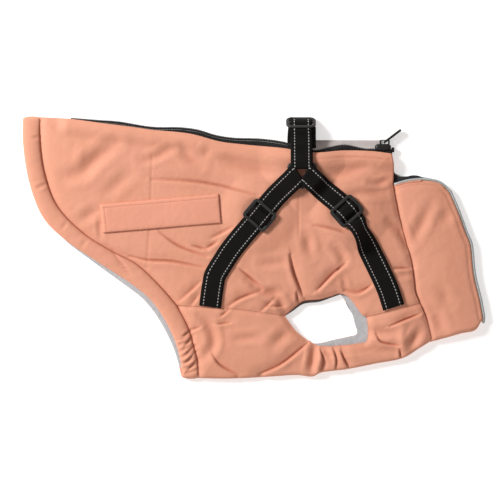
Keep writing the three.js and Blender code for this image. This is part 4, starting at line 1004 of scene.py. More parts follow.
class Finishes:
    """Every finish of the coat, with the record's slot that each belongs to."""

    def __init__(self) -> None:
        peach = ShellCloth("peach shell cloth", (0.8, 0.37, 0.25), (0.75, 0.33, 0.21))
        flap = ShellCloth("peach flap cloth", (0.83, 0.37, 0.252), (0.79, 0.34, 0.226), 0.56)
        self.slots = {
            "shell_fabric": peach.material(),
            "flap_fabric": flap.material(),
            "lining_fleece": Fleece("grey fleece", (0.6, 0.61, 0.625), (0.4, 0.41, 0.43), 0.0004).material(),
            # The turned edge's fleece is the grey lining made dark: painted shade where the edge lies in shadow under
            # the near panel.
            "turned edge": Fleece("lining fleece in painted shade", (0.17, 0.14, 0.13), (0.1, 0.08, 0.075), 0.0003).material(),
            "collar_fleece": Fleece("black fleece", (0.016, 0.017, 0.02), (0.005, 0.005, 0.007)).material(),
            "guard_fabric": Tape("pale guard cloth", (0.55, 0.5, 0.485), 0.75).material(),
            "piping": Tape("reflective piping", (0.42, 0.45, 0.45), 0.38, 0.15).material(),
            "webbing": Webbing("black webbing").material(),
            "plastic": Moulded("black plastic", (0.011, 0.0105, 0.01), 0.52).material(),
            "zip_tape": Tape("black zip tape", (0.008, 0.008, 0.0075), 0.85).material(),
            "zip_coil": Moulded("black zip coil", (0.007, 0.007, 0.007), 0.62).material(),
            "zip_metal": Moulded("black zip metal", (0.009, 0.009, 0.009), 0.42, 0.2).material(),
        }

    def dress(self, piece: bpy.types.Object, slot: str, finish: str = "") -> bpy.types.Object:
        """Gives a piece the finish of one of the record's slots.

        Args:
            piece: the piece.
            slot: the slot's name.
            finish: a finish of its own within that slot, if it has one.

        Returns:
            The piece.
        """
        piece.data.materials.clear()
        piece.data.materials.append(self.slots[finish or slot])
        log.info("%s: %d faces, %s", piece.name, len(piece.data.polygons), slot)
        return piece


@dataclass
class Panels:
    """The two side panels and the belly panel, which is folded round the bottom edge.

    Args:
        form: the heights of the cloth.
        finishes: the finishes.
        side_cells: the near side panel's cells along and up.
        belly_cells: the belly panel's cells along, and up the near and the far layer.
    """

    form: Form
    finishes: Finishes
    side_cells: tuple[tuple[int, int, int], int] = ((102, 94, 60), 156)
    belly_cells: tuple[tuple[int, int, int], int, int] = ((100, 110, 70), 76, 16)

    def side_net(self, seams: tuple[Table, Table, Table], cells: tuple[tuple[int, int, int], int]) -> np.ndarray:
        """The net of a side panel.

        Args:
            seams: the rear seam, the leg hole's top and the front seam.
            cells: the cells along each of them, and up.

        Returns:
            The net.
        """
        (rear, leg, front), rise = cells
        low = np.vstack([along(seams[0], rear), along(seams[1], leg)[1:], along(seams[2], front)[1:]])
        neck = rise // 5
        right = np.vstack([along(COLLAR_SEAM_SIDE[::-1], rise - neck), along(NECK_EDGE[::-1], neck)[1:]])
        left = along(CASING_SEAM_SIDE[::-1], rise)
        return net(low, along(BACK_EDGE, rear + leg + front), left, right, overlap="low left right")

    def belly_net(self, seams: tuple[Table, Table, Table], cells: tuple[int, int, int], rise: int) -> np.ndarray:
        """The net of one layer of the belly panel, up from its fold."""
        high = np.vstack([along(t, n)[1 if k else 0:] for k, (t, n) in enumerate(zip(seams, cells))])
        low = along(BELLY_EDGE, sum(cells)) + np.array((0.0, FOLD_REACH))
        left = along(CASING_SEAM_BELLY[::-1], rise)
        right = along(COLLAR_SEAM_BELLY[::-1], rise)
        return net(low, high, left, right, overlap="high left right")

    def build(self) -> None:
        """Builds and dresses the three panels."""
        form, dress = self.form, self.finishes.dress
        near = self.side_net((SEAM_REAR_NEAR, LEG_TOP_NEAR, SEAM_FRONT_NEAR), self.side_cells)
        side = walled(creased(cloth("near_side_panel", raised(near, form.near_outer)), form), 2.2)
        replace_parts(side, "side_panel_near")
        dress(side, "shell_fabric")

        far = self.side_net((SEAM_REAR_FAR, LEG_TOP_FAR, SEAM_FRONT_FAR), ((40, 36, 30), 56))
        def under(x: np.ndarray, y: np.ndarray) -> np.ndarray:
            """The far panel's lower face, rolled up a little at the back edge."""
            roll = 0.8 * np.exp(-((nearest(form.back, x, y)[0] / 3) ** 2))
            return form.lift(x, y) + roll
        other = walled(cloth("far_side_panel", raised(far, under), outwards=False), 2.0)
        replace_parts(other, "side_panel_far")
        dress(other, "shell_fabric")

        along_cells, near_rise, far_rise = self.belly_cells
        upper = self.belly_net((SEAM_REAR_NEAR, LEG_LOW_NEAR, SEAM_FRONT_NEAR), along_cells, near_rise)
        lower = self.belly_net((SEAM_REAR_FAR, LEG_LOW_FAR, SEAM_FRONT_FAR), along_cells, far_rise)
        whole = folded(raised(upper, form.near_outer), raised(lower, 0.0), 10, FOLD_REACH)
        belly = walled(creased(cloth("belly_panel_folded", whole, outwards=False), form), 2.0)
        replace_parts(belly, "belly_panel")
        dress(belly, "shell_fabric")


@dataclass
class Linings:
    """The grey fleece that shows in the leg hole and along the lower rear edge.

    Args:
        form: the heights of the cloth.
        finishes: the finishes.
        thick: the fleece's thickness.
    """

    form: Form
    finishes: Finishes
    thick: float = 0.9

    def leg_ring(self) -> np.ndarray:
        """The net of the fleece round the far leg hole, out from the hole."""
        hole = resampled(np.vstack([along(LEG_LOW_FAR, 40), along(LEG_TOP_FAR, 40)[::-1][1:]]), 120)
        angles = np.arctan2(hole[:, 1] - 54, hole[:, 0] - 270)
        rim = np.stack([270 + 57 * np.cos(angles), 54 + 38 * np.sin(angles)], axis=1)
        shares_out = np.concatenate(([-0.02], np.linspace(0.02, 1, 10)))[None, :, None]
        return hole[:, None] * (1 - shares_out) + rim[:, None] * shares_out

    def hem_strip(self) -> np.ndarray:
        """The net of the fleece along the far hem, in from its edge."""
        line = smooth_run(HEM_FAR)
        line = resampled(line, 200)[84:]
        heading = np.gradient(line, axis=0)
        inward = np.stack([-heading[:, 1], heading[:, 0]], axis=1)
        inward /= np.linalg.norm(inward, axis=1, keepdims=True)
        start = -0.35 + 2.6 * ease(np.linspace(0, 1, len(line)), 0.92, 1)[:, None]
        reach = start + (11 - start) * np.linspace(0, 1, 10)
        return line[:, None] + inward[:, None] * reach[..., None]

    def turned_edge(self) -> np.ndarray:
        """The net of the near leg hole's turned edge, from its fold in under the panel."""
        line = along(LEG_TURNED_EDGE, 60)
        reach = np.linspace(0, 11, 9)[None, :, None]
        rise = np.array((-0.2, 1.0))
        return line[:, None] + rise * reach

    def build(self) -> None:
        """Builds and dresses the pieces of fleece."""
        def pile(x: np.ndarray, y: np.ndarray) -> np.ndarray:
            """The fleece's upper face."""
            return FLEECE_TOP - 0.12 + 0.1 * crumple(x, y, 5, 3.0)
        ring = cloth("leg_hole_fleece", raised(self.leg_ring(), pile), outwards=False, wrap=Wrap(first=True))
        walled(ring, self.thick)
        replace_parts(ring, "leg_lining")
        self.finishes.dress(ring, "lining_fleece")
        edge = walled(cloth("leg_hole_turned_edge", raised(self.turned_edge(), 3.65)), self.thick)
        # Its darker fleece is painted shade for where it lies under the near panel's edge.
        self.finishes.dress(edge, "lining_fleece", "turned edge")
        strip = walled(cloth("hem_fleece", raised(self.hem_strip(), pile)), self.thick)
        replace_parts(strip, "hem_facing")
        self.finishes.dress(strip, "lining_fleece")


@dataclass
class HemCasing:
    """The padded, elasticated casing right round the rear opening.

    Args:
        form: the heights of the cloth.
        finishes: the finishes.
        near_mid: the middle height of its near run.
        far_mid: the middle height of its far run.
        rise: how high the near run swells over its middle.
        gathers: how many tucks the elastic makes near the belly.
        gather_from: where they begin, as a share of its length.
    """

    form: Form
    finishes: Finishes
    near_mid: float = 5.2
    far_mid: float = 1.1
    rise: float = 4.0
    gathers: int = 6
    gather_from: float = 0.885

    def ring(self, outer: np.ndarray, inner: np.ndarray, mid: float, angle: float, out: float,
             rise: float, under: float, tuck: float) -> np.ndarray:
        """One section of the band.

        Args:
            outer: its outer point x, y.
            inner: its point on the casing seam.
            mid: its middle's height.
            angle: how far it has turned from near to far.
            out: which way it turns, -1 at the belly and 1 at the tail.
            rise: how high it swells over its middle.
            under: how low it hangs below its middle.
            tuck: the phase of the elastic's tucks, or nothing.

        Returns:
            The section's points x, y, z.
        """
        turn = np.linspace(0, 2 * np.pi, RING_SIDES + 1)
        across, up = -np.cos(turn), np.sin(turn)
        half = (inner - outer) / 2
        half = half * (1 + SEAM_OVERLAP / np.linalg.norm(half))
        top = np.sign(up) * np.abs(up) ** np.where(up > 0, 0.78, 0.5)
        tucked = top * np.where(up > 0, rise, under)
        if tuck:
            tucked += 0.55 * np.sin(tuck + 3.6 * across) * np.clip(up, 0, 1)
        centre = np.array((*((outer + inner) / 2), mid))
        normal = np.array((0.0, out * np.sin(angle), np.cos(angle)))
        return centre + across[:, None] * np.array((*half, 0.0)) + tucked[:, None] * normal

    def net(self) -> np.ndarray:
        """The band's sections, near from the tail to the belly, round the fold and back along the far side."""
        seam = np.vstack([along(CASING_SEAM_SIDE, 80), along(CASING_SEAM_BELLY, 30)[1:]])
        seam[:, 1] = np.minimum(seam[:, 1], 235.2)
        steps, far_steps, turns = 380, 80, 10
        near_out, near_in = along(HEM_NEAR, steps), resampled(seam, steps)
        far_out, far_in = along(HEM_FAR, far_steps), resampled(seam, far_steps)
        middle, radius = (self.near_mid + self.far_mid) / 2, (self.near_mid - self.far_mid) / 2
        sections = []
        for k in range(steps + 1):
            t = k / steps
            gather = max(0.0, (t - self.gather_from) / (1 - self.gather_from))
            ends = min(1.0, 0.6 + 8 * min(t, 1 - t))
            tuck = 2 * math.pi * self.gathers * gather if 0.02 < gather < 0.98 else 0.0
            swell = self.rise * ends + 0.16 * noise.noise(Vector((t * 30, 0, 0)))
            sections.append(self.ring(near_out[k], near_in[k], self.near_mid, 0, 0, swell, 1.4, tuck))
        folded_near = np.array(sections)
        upper = np.clip(np.sin(np.linspace(0, 2 * np.pi, RING_SIDES + 1)), 0, 1)
        folded_near[..., 2] += self.form.folds(folded_near[..., 0], folded_near[..., 1]) * upper
        sections = list(folded_near)

        def turned(near: tuple[np.ndarray, np.ndarray], far: tuple[np.ndarray, np.ndarray], out: float) -> None:
            """Adds the sections of one turn between the near and the far run."""
            for k in range(1, turns):
                angle = math.pi * (k if out < 0 else turns - k) / turns
                shift = np.array((0.0, out * radius * math.sin(angle)))
                outer, inner = (n + (f - n) * angle / math.pi + shift for n, f in zip(near, far))
                mid = middle + radius * math.cos(angle)
                sections.append(self.ring(outer, inner, mid, angle, out, 2.3, 1.2, 0.0))
        turned((near_out[-1], near_in[-1]), (far_out[-1], far_in[-1]), -1)
        for k in range(far_steps, -1, -1):
            sections.append(self.ring(far_out[k], far_in[k], self.far_mid, math.pi, 0, 1.1, 1.1, 0.0))
        turned((near_out[0], near_in[0]), (far_out[0], far_in[0]), 1)
        sections.append(sections[0])
        return np.array(sections)

    def build(self) -> None:
        """Builds and dresses the casing."""
        band = cloth("hem_casing_band", self.net(), outwards=False, wrap=Wrap(first=True, second=True))
        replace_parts(creased(band, self.form), "hem_casing")
        self.finishes.dress(band, "shell_fabric")


@dataclass
class PocketFlap:
    """The welt pocket's flap, sewn down at its top and rear and free below.

    Args:
        form: the heights of the cloth.
        finishes: the finishes.
        cells: its cells along and up.
        over: how high its upper face lies over the panel.
        sewn: how far its sewn edges are drawn down.
    """

    form: Form
    finishes: Finishes
    cells: tuple[int, int] = (96, 26)
    over: float = 1.8
    sewn: float = 1.0

    def build(self) -> None:
        """Builds and dresses the flap."""
        top_rear, top_front, low_front, low_rear = (np.array(corner, float) for corner in FLAP_CORNERS)
        steps, rise = self.cells
        flap = net(resampled(np.array((low_rear, low_front)), steps), resampled(np.array((top_rear, top_front)), steps),
                   resampled(np.array((low_rear, top_rear)), rise), resampled(np.array((low_front, top_front)), rise))
        edges = [np.array(pair) for pair in ((top_rear, top_front), (low_rear, top_rear))]
        free = [np.array(pair) for pair in ((low_rear, low_front), (low_front, top_front))]

        def height(x: np.ndarray, y: np.ndarray) -> np.ndarray:
            """The flap's upper face: drawn down at its sewn edges, grooved at its stitches, rolled at the free."""
            down = self.form.away(edges, x, y)
            loose = self.form.away(free, x, y)
            stitched = 0.35 * np.exp(-(((down - 3.3) / 0.9) ** 2))
            roll = 0.5 * np.exp(-((loose / 1.0) ** 2))
            swell = 0.45 * (1 - np.exp(-loose / 5)) * (1 - np.exp(-down / 5))
            sewn = self.sewn * np.exp(-((down / 1.1) ** 2))
            return self.form.near_outer(x, y, 0.5) + self.over + swell - stitched - roll - sewn
        piece = walled(cloth("welt_flap", raised(flap, height)), 1.1)
        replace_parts(piece, "pocket_flap")
        self.finishes.dress(piece, "flap_fabric")


@dataclass
class Collar:
    """The turned collar: a padded shell, its black fleece lining and the piping round its free edge.

    Args:
        form: the heights of the cloth.
        finishes: the finishes.
        piping: the piping's thickness.
        shell: the near shell's lower level.
        puff: how far its padding swells.
    """

    form: Form
    finishes: Finishes
    piping: float = 3.0
    shell: float = 4.9
    puff: float = 3.4

    @staticmethod
    def inset(run: np.ndarray, distance: float | np.ndarray) -> np.ndarray:
        """A run moved to its right-hand side."""
        heading = np.gradient(run, axis=0)
        heading /= np.linalg.norm(heading, axis=1, keepdims=True)
        return run + distance * np.stack([heading[:, 1], -heading[:, 0]], axis=1)

    def net(self, top: Table, across: int, rise: int, reach: float = 0.0) -> np.ndarray:
        """The net of one layer, from the seam to the free edge and up from the throat.

        Args:
            top: the layer's top edge.
            across: its cells along the top.
            rise: its cells up.
            reach: how far it reaches over the piping at its top, near the neck.

        Returns:
            The net.
        """
        edge = np.vstack([along(top, across), along(COLLAR_EDGE, rise)[1:]])
        place = np.arange(len(edge)) / across
        edge = self.inset(edge, (self.piping - 0.3 - reach * fade(place, 0.45, 0.75))[:, None])
        right = edge[across:][::-1]
        seam = along((*COLLAR_SEAM_SIDE[:-1], *COLLAR_SEAM_BELLY)[::-1], rise)
        low = np.vstack([along(THROAT_EDGE, across)[:-1], right[:1]])
        left = np.vstack([seam[:-1], edge[:1]])
        return net(low, edge[:across + 1], left, right, overlap="left")

    def upper(self, x: np.ndarray, y: np.ndarray) -> np.ndarray:
        """The near shell's upper face, grooved where it is stitched beside the piping."""
        edge = self.form.away([along(COLLAR_EDGE, 30), along(COLLAR_TOP_NEAR, 16)], x, y)
        free = self.form.away([along(COLLAR_EDGE, 30)], x, y)
        seam = self.form.away([self.form.collar_seam], x, y)
        swell = self.puff * (1 - np.exp(-np.minimum(free, seam) / 12))
        groove = 0.55 * np.exp(-(((edge - 6.2) / 1.5) ** 2)) + 0.9 * np.exp(-(((edge - 2) / 1.6) ** 2))
        small = 0.16 * crumple(x, y, 14, 4.0) + 0.08 * crumple(x, y, 6, 5.0)
        return self.shell + 2 + swell + self.form.folds(x, y) + small - groove - 1.3 * np.exp(-((seam / 2.6) ** 2))

    def piping_path(self) -> np.ndarray:
        """The piping's middle line, near and then far."""
        def layer(top: Table, z: float) -> np.ndarray:
            """One layer's run at a height."""
            run = self.inset(np.vstack([along(top, 24), along(COLLAR_EDGE, 50)[1:]]), self.piping / 2)
            return np.column_stack([run, np.full(len(run), z)])
        turn = np.array(((419.8, 54.6, 4.9), (419.7, 52, 3.5), (419.8, 54.6, 2.1)))
        return np.vstack([layer(COLLAR_TOP_NEAR, 5.2), turn, layer(COLLAR_TOP_FAR, 1.8)[::-1]])

    def build(self) -> None:
        """Builds and dresses the collar."""
        dress = self.finishes.dress
        near, far = self.net(COLLAR_TOP_NEAR, 52, 110), self.net(COLLAR_TOP_FAR, 52, 40)
        shell = cloth("collar_shell_folded", folded(raised(near, self.upper), raised(far, 0.0), 10, 4), outwards=False)
        walled(creased(shell, self.form), 1.6)
        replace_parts(shell, "collar_shell")
        dress(shell, "shell_fabric")

        near, far = self.net(COLLAR_TOP_NEAR, 32, 40), self.net(COLLAR_FLEECE_TOP, 32, 40, self.piping - 0.3)
        def lower(x: np.ndarray, y: np.ndarray) -> np.ndarray:
            """The far lining, which rides over the piping near the neck."""
            return 2.3 + 1.6 * fade(x, 356, 368) * ease(y, 177, 182.5) + 0.1 * crumple(x, y, 5, 9.0)
        inside = cloth("collar_fleece_lining", folded(raised(near, 4.5), raised(far, lower), 6, 1.4), outwards=False)
        walled(inside, 0.9)
        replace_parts(inside, "collar_lining")
        dress(inside, "collar_fleece")

        cord = tube("collar_edge_piping", self.piping_path(), self.piping / 2 - 0.05, 12)
        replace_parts(cord, "collar_piping")
        dress(cord, "piping")


def tube(name: str, path: np.ndarray, radius: float, sides: int, body: str = "coat") -> bpy.types.Object:
    """A round cord along a path.

    Args:
        name: the piece's name.
        path: its middle line in millimetres.
        radius: its radius in millimetres.
        sides: how many sides its section has.
        body: the CAD body that it moves with; not used, the cord always rides on the coat.

    Returns:
        The piece.
    """
    heading = np.gradient(path, axis=0)
    heading /= np.linalg.norm(heading, axis=1, keepdims=True)
    side = np.cross(heading, (0.0, 0.0, 1.0))
    for k in range(len(side)):
        if np.linalg.norm(side[k]) < 0.2:
            side[k] = side[k - 1]
        if k and side[k] @ side[k - 1] < 0:
            side[k] *= -1
    side /= np.linalg.norm(side, axis=1, keepdims=True)
    up = np.cross(side, heading)
    turn = np.linspace(0, 2 * np.pi, sides + 1)[None, :, None]
    net_points = path[:, None] + radius * (np.cos(turn) * side[:, None] + np.sin(turn) * up[:, None])
    return capped(cloth(name, net_points, wrap=Wrap(second=True)))


def capped(piece: bpy.types.Object) -> bpy.types.Object:
    """Closes a tube's open ends and turns its faces outwards."""
    bm = bmesh.new()
    bm.from_mesh(piece.data)
    bmesh.ops.holes_fill(bm, edges=[e for e in bm.edges if e.is_boundary], sides=0)
    bmesh.ops.recalc_face_normals(bm, faces=bm.faces)
    bm.to_mesh(piece.data)
    bm.free()
    return piece


@dataclass
class BackZip:
    """The zip along the back: tapes, coil, slider with its pull tab, stop and the pale guard behind it.

    Args:
        form: the heights of the cloth.
        finishes: the finishes.
        pitch: the pitch of the teeth.
        across: how far the coil reaches across.
    """

    form: Form
    finishes: Finishes
    pitch: float = 1.5
    across: float = 3.0

    def rise(self, x: np.ndarray) -> np.ndarray:
        """How far the zip is raised with the far layer."""
        return self.form.lift(x, self.form.back_at(x) - 3)

    def tape(self, name: str, node: str, low: float) -> None:
        """Builds one tape, from under the back edge to the coil.

        Args:
            name: the piece's name.
            node: the CAD node that it stands for.
            low: its lower level.
        """
        x = np.linspace(44.6, 336.4, 161)
        line = along((*ZIP_EDGE, (335.4, 209.4)), 240)
        inner = self.form.back_at(x) - 6.8
        outer = np.maximum(np.interp(x, line[:, 0], line[:, 1]) - self.across + 0.2, inner + 3.8)
        outer = np.maximum(outer, 209.4 - 8 * fade(x, 312, 319))
        rows = np.linspace(0, 1, 7)[None, :]
        y = inner[:, None] * (1 - rows) + outer[:, None] * rows
        z = np.broadcast_to((low + 1 + self.rise(x))[:, None], y.shape)
        piece = cloth(name, np.stack([np.broadcast_to(x[:, None], y.shape), y, z], axis=-1))
        walled(piece, 1.0)
        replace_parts(piece, node)
        self.finishes.dress(piece, "zip_tape")

    def coil(self) -> None:
        """Builds the closed row of teeth, one bevelled tooth for each pitch, over a thin core."""
        line = along(ZIP_EDGE, 400)
        line = np.column_stack([line[:, 0], line[:, 1] - self.across / 2])
        core = np.column_stack([line, 4.2 + self.rise(line[:, 0])])
        count = int(np.linalg.norm(np.diff(line, axis=0), axis=1).sum() / self.pitch)
        spots = resampled(core, count)
        heading = np.gradient(spots, axis=0)
        bm = bmesh.new()
        for spot, way in zip(spots, heading):
            turn = Matrix.Rotation(math.atan2(way[1], way[0]), 4, "Z")
            place = Matrix.Translation(Vector(to_frame(spot))) @ turn @ Matrix.Diagonal((0.00105, 0.003, 0.0027, 1))
            tooth = bmesh.ops.create_cube(bm, size=1.0)["verts"]
            edges = list({e for v in tooth for e in v.link_edges})
            made = bmesh.ops.bevel(bm, geom=edges, offset=0.22, segments=1, profile=0.5, affect="EDGES", material=-1)
            bmesh.ops.transform(bm, matrix=place, verts=list({v for f in made["faces"] for v in f.verts}))
        teeth = piece_of(bm, "zip_teeth")
        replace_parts(teeth, "zip_coil")
        self.finishes.dress(teeth, "zip_coil")
        spine = tube("zip_teeth_core", core[::3], 0.95, 8)
        self.finishes.dress(spine, "zip_coil")

    def guard(self) -> None:
        """Builds the pale guard behind the zip near the neck."""
        x = np.linspace(261, 328, 68)
        rows = np.linspace(0, 1, 15)
        root = self.form.back_at(x) + 0.4
        y = root[:, None] * (1 - rows) + 217.9 * rows
        past = y - self.form.back_at(x)[:, None]
        low = 0.05 + 1.15 * fade(past, 0.8, 5) + self.rise(x)[:, None] * fade(past, 1, 12)
        wave = 0.12 * np.sin(x / 5)[:, None] * rows
        points = np.stack([np.broadcast_to(x[:, None], y.shape), y, low + 1 + np.abs(wave)], axis=-1)
        piece = walled(cloth("zip_guard_flap", points), 0.9)
        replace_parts(piece, "zip_guard")
        self.finishes.dress(piece, "guard_fabric")

    def slider(self) -> None:
        """Builds the slider's body, rounded at both ends and narrower at its mouth."""
        low, high = (np.array(corner) / MILLIMETRE + np.array((LENGTH / 2, HEIGHT / 2, 0.0))
                     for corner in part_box("zip_slider"))
        middle, half = (low + high) / 2, (high - low) / 2
        u = np.linspace(-1, 1, 33)[:, None]
        turn = np.linspace(0, 2 * np.pi, 33)[None, :]
        ends = np.maximum(1 - np.abs(u) ** 4.5, 0.004) ** 0.3
        waist = 1 - 0.2 * ease(u, 0.1, 0.75) + 0.05 * np.cos(5 * u)
        across, up = (np.sign(wave) * np.abs(wave) ** 0.62 for wave in (np.cos(turn), np.sin(turn)))
        reach = np.where(across > 0, 1.08, 0.97 * waist)
        y = middle[1] + half[1] * ends * reach * across
        z = middle[2] + half[2] * ends * up
        points = np.dstack([middle[0] + half[0] * u + 0 * turn, y, z])
        body = capped(cloth("slider_body", points, wrap=Wrap(second=True)))
        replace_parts(body, "zip_slider")
        self.finishes.dress(body, "zip_metal")

    def build(self) -> None:
        """Builds and dresses the zip."""
        self.tape("zip_tape_upper", "zip_tape_near", 4.7)
        self.tape("zip_tape_lower", "zip_tape_far", 2.7)
        self.coil()
        self.guard()
        dress = self.finishes.dress
        self.slider()
        dress(softened("zip_bridge", "slider_bridge", 0.3), "zip_metal")
        dress(softened("zip_stop", "zip_end_stop", 0.5), "zip_metal")
        dress(softened("zip_pull", "pull_tab_plate", 0.35, "pull_tab", swollen=0.22), "zip_metal")


@dataclass(frozen=True)
class Strap:
    """One harness strap from its ring to the side seam.

    Args:
        name: its name in the CAD.
        far: whether it lies under the coat.
        glide: where its tri-glide sits, as a share of its length.
        edge: the point x, y of the ring's window that it is hooked on.
        inward: the direction into the window there.
        route: its middle line's points x, y, from the ring down.
        roll: how far it is rolled about its length, where, and over what reach.
    """

    name: str
    far: bool
    glide: float
    edge: tuple[float, float]
    inward: tuple[float, float]
    route: Table
    roll: tuple[float, float, float] = (0.0, 0.0, 1.0)

    def glide_spot(self) -> tuple[float, float]:
        """Where its tri-glide sits."""
        line = along(self.route, 200)
        x, y = line[round(self.glide * 200)]
        return float(x), float(y)

    def glide_frame(self) -> tuple[Vector, Vector]:
        """The middle of its tri-glide in the frame, and the direction across it."""
        line = along(self.route, 200)
        k = round(self.glide * 200)
        ahead = line[k + 1] - line[k - 1]
        across = Vector((-ahead[1], ahead[0], 0.0)).normalized()
        return Vector(to_frame(np.array((*self.glide_spot(), 0.0)))), across


STRAPS = (
    Strap("strap_rear_near", False, 0.307, (250.2, 185.7), (0.84, 0.54),
          ((244.8, 180.6), (230, 166.2), (216, 149.4), (189.6, 117.6), (180.4, 103.4), (176.4, 97), (174.5, 92.6),
           (173.7, 88), (172.4, 80), (170.6, 66))),
    Strap("strap_front_near", False, 0.298, (257.5, 185.7), (-0.86, 0.51),
          ((263.6, 180.4), (276.2, 169.2), (286.2, 160.9), (293.8, 153.4), (300, 145.6), (305.4, 136.4),
           (313.5, 120.4), (331.4, 83), (337.2, 65.5)), (-0.72, 22.0, 14.0)),
    Strap("strap_rear_far", True, 0.307, (250.2, 185.7), (0.84, 0.54),
          ((244.8, 180.6), (229, 166.2), (214, 149.4), (186, 118.9), (171, 94.5), (165.5, 66.5))),
    Strap("strap_front_far", True, 0.294, (257.5, 185.7), (-0.86, 0.51),
          ((263.6, 180.4), (276.8, 170), (288, 161.6), (296.4, 153.6), (303.6, 145), (310, 135), (320.6, 120.6),
           (341, 83), (347, 65.7))),
)


@dataclass
class Harness:
    """The webbing harness: two rings, four straps with their tri-glides, and the back strap with its slider.

    Args:
        form: the heights of the cloth.
        finishes: the finishes.
        columns: how many cells a strap has across.
    """

    form: Form
    finishes: Finishes
    columns: int = 8

    def ribbon(self, name: str, rows: Sequence[Sequence[float]], upright: bool) -> bpy.types.Object:
        """A ribbon of webbing through its rows.

        Args:
            name: the piece's name.
            rows: x, y, z, width and roll at each place along it.
            upright: whether it keeps its width along x all the way.

        Returns:
            The piece.
        """
        run = smooth_run(rows, 4)
        place, width, roll = run[:, :3], run[:, 3], run[:, 4]
        heading = np.gradient(place, axis=0)
        heading /= np.linalg.norm(heading, axis=1, keepdims=True)
        side = np.stack([-heading[:, 1], heading[:, 0], np.zeros(len(run))], axis=1)
        if upright:
            side = np.tile((1.0, 0.0, 0.0), (len(run), 1))
        for k in range(len(side)):
            if k and np.linalg.norm(side[k]) < 0.3:
                side[k] = side[k - 1]
            if k and side[k] @ side[k - 1] < 0:
                side[k] *= -1
        side -= heading * np.sum(side * heading, axis=1, keepdims=True)
        side /= np.linalg.norm(side, axis=1, keepdims=True)
        up = np.cross(heading, side)
        side = side * np.cos(roll)[:, None] + up * np.sin(roll)[:, None]
        across = np.linspace(-0.5, 0.5, self.columns + 1)[None, :, None]
        points = place[:, None] + side[:, None] * across * width[:, None, None]
        piece = cloth(name, points)
        walled(piece, WEBBING, 0.0)
        return self.finishes.dress(piece, "webbing")

    def bed(self, strap: Strap, spots: np.ndarray, sides: np.ndarray) -> np.ndarray:
        """The height that a strap lies on at several places, over its whole width."""
        offsets = np.array((-10, -5, 0, 5, 10.0))[:, None, None]
        probes = spots[None] + sides[None] * offsets
        if strap.far:
            return np.maximum(STRAP_LIFT, self.form.lift(probes[..., 0], probes[..., 1]).min(axis=0) - 0.4)
        return self.form.near_outer(probes[..., 0], probes[..., 1]).max(axis=0)

    @staticmethod
    def plate_bed(node: str, thick: float, far: bool) -> float:
        """The level that a ring or a tri-glide of the frame is measured from."""
        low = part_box(node)[0].z / MILLIMETRE
        return low + thick + PLATE_LOW if far else low - PLATE_LOW

    def strap_rows(self, strap: Strap) -> list[tuple[float, float, float, float, float]]:
        """The places along a strap, from its hook on the ring to its sewn end.

        Args:
            strap: the strap.

        Returns:
            x, y, z, width and roll of each.
        """
        sign = -1 if strap.far else 1
        ring = self.plate_bed("ring_far" if strap.far else "ring_near", RING_THICK, strap.far)
        glide = self.plate_bed(strap.name.replace("strap", "glide"), GLIDE_THICK, strap.far)
        line = along(strap.route, 400)
        total = float(np.linalg.norm(np.diff(line, axis=0), axis=1).sum())
        centre = strap.glide * total
        rows = []
        over = OVER_RING + (0.0 if "rear" in strap.name else 1.2)
        for inward, height, width in ((-7.5, STRAP_OVER, 6), (0.2, STRAP_OVER, 5), (0.9, 1.9, 6), (0.9, 3.4, 14),
                                      (0.4, over, 19.5), (-1.6, over, WEBBING_WIDTH)):
            x, y = (e + inward * i for e, i in zip(strap.edge, strap.inward))
            rows.append((x, y, ring + sign * height, width, 0.0))
        rows.append((*line[0], ring + sign * over, WEBBING_WIDTH, 0.0))
        rows.append((*line[round(400 * 4 / total)], ring + sign * over, WEBBING_WIDTH, 0.0))
        stops = np.concatenate([np.linspace(14, total, 19), centre + np.array((0, 1.6, 2.8, 4.2, 5.6, 7, 9, 12)),
                                centre - np.array((1.6, 2.8, 4.2, 5.6, 7, 9, 12))])
        stops = np.sort(stops)
        stops = stops[np.concatenate(([True], np.diff(stops) > 0.9))]
        stops = np.concatenate(([9.0], stops))
        spots = np.stack([np.interp(stops / total, np.linspace(0, 1, 401), line[:, k]) for k in (0, 1)], axis=1)
        heading = np.stack([np.interp(stops / total, np.linspace(0, 1, 401), np.gradient(line[:, k]))
                            for k in (0, 1)], axis=1)
        heading /= np.linalg.norm(heading, axis=1, keepdims=True)
        sides = np.stack([-heading[:, 1], heading[:, 0]], axis=1)
        beds = self.bed(strap, spots, sides)
        angle, roll_at, reach = strap.roll
        for stop, spot, bed in zip(stops, spots, beds):
            away = abs(stop - centre)
            height = STRAP_OVER if stop > 9 else 3.0
            if away < 10:
                bar = GLIDE_LENGTH / 2 - GLIDE_BAR
                share = float(ease(np.array(away), 2.0, bar - 0.6))
                height = OVER_GLIDE + (STRAP_OVER - OVER_GLIDE) * share
            base = glide if away < 14 else float(bed)
            roll = angle * math.exp(-(((stop - centre - roll_at) / reach) ** 2)) * float(ease(stop - centre, 8, 16))
            height += 9.5 * abs(math.sin(roll))
            width = WEBBING_WIDTH - GLIDE_SQUEEZE * float(fade(np.array(away), 9, 12))
            rows.append((*spot, base + sign * height, width, roll))
        return rows

    @staticmethod
    def plane(middle: Sequence[float], tilt: float) -> Callable[[np.ndarray], np.ndarray]:
        """A plane that leans about the x direction.

        Args:
            middle: its middle in pattern millimetres.
            tilt: how far it leans, in radians.

        Returns:
            A function from places along, up and out of the plane to pattern places.
        """
        turn = np.array(((1, 0, 0), (0, math.cos(tilt), -math.sin(tilt)), (0, math.sin(tilt), math.cos(tilt))))
        return lambda points: np.array(middle) + points @ turn

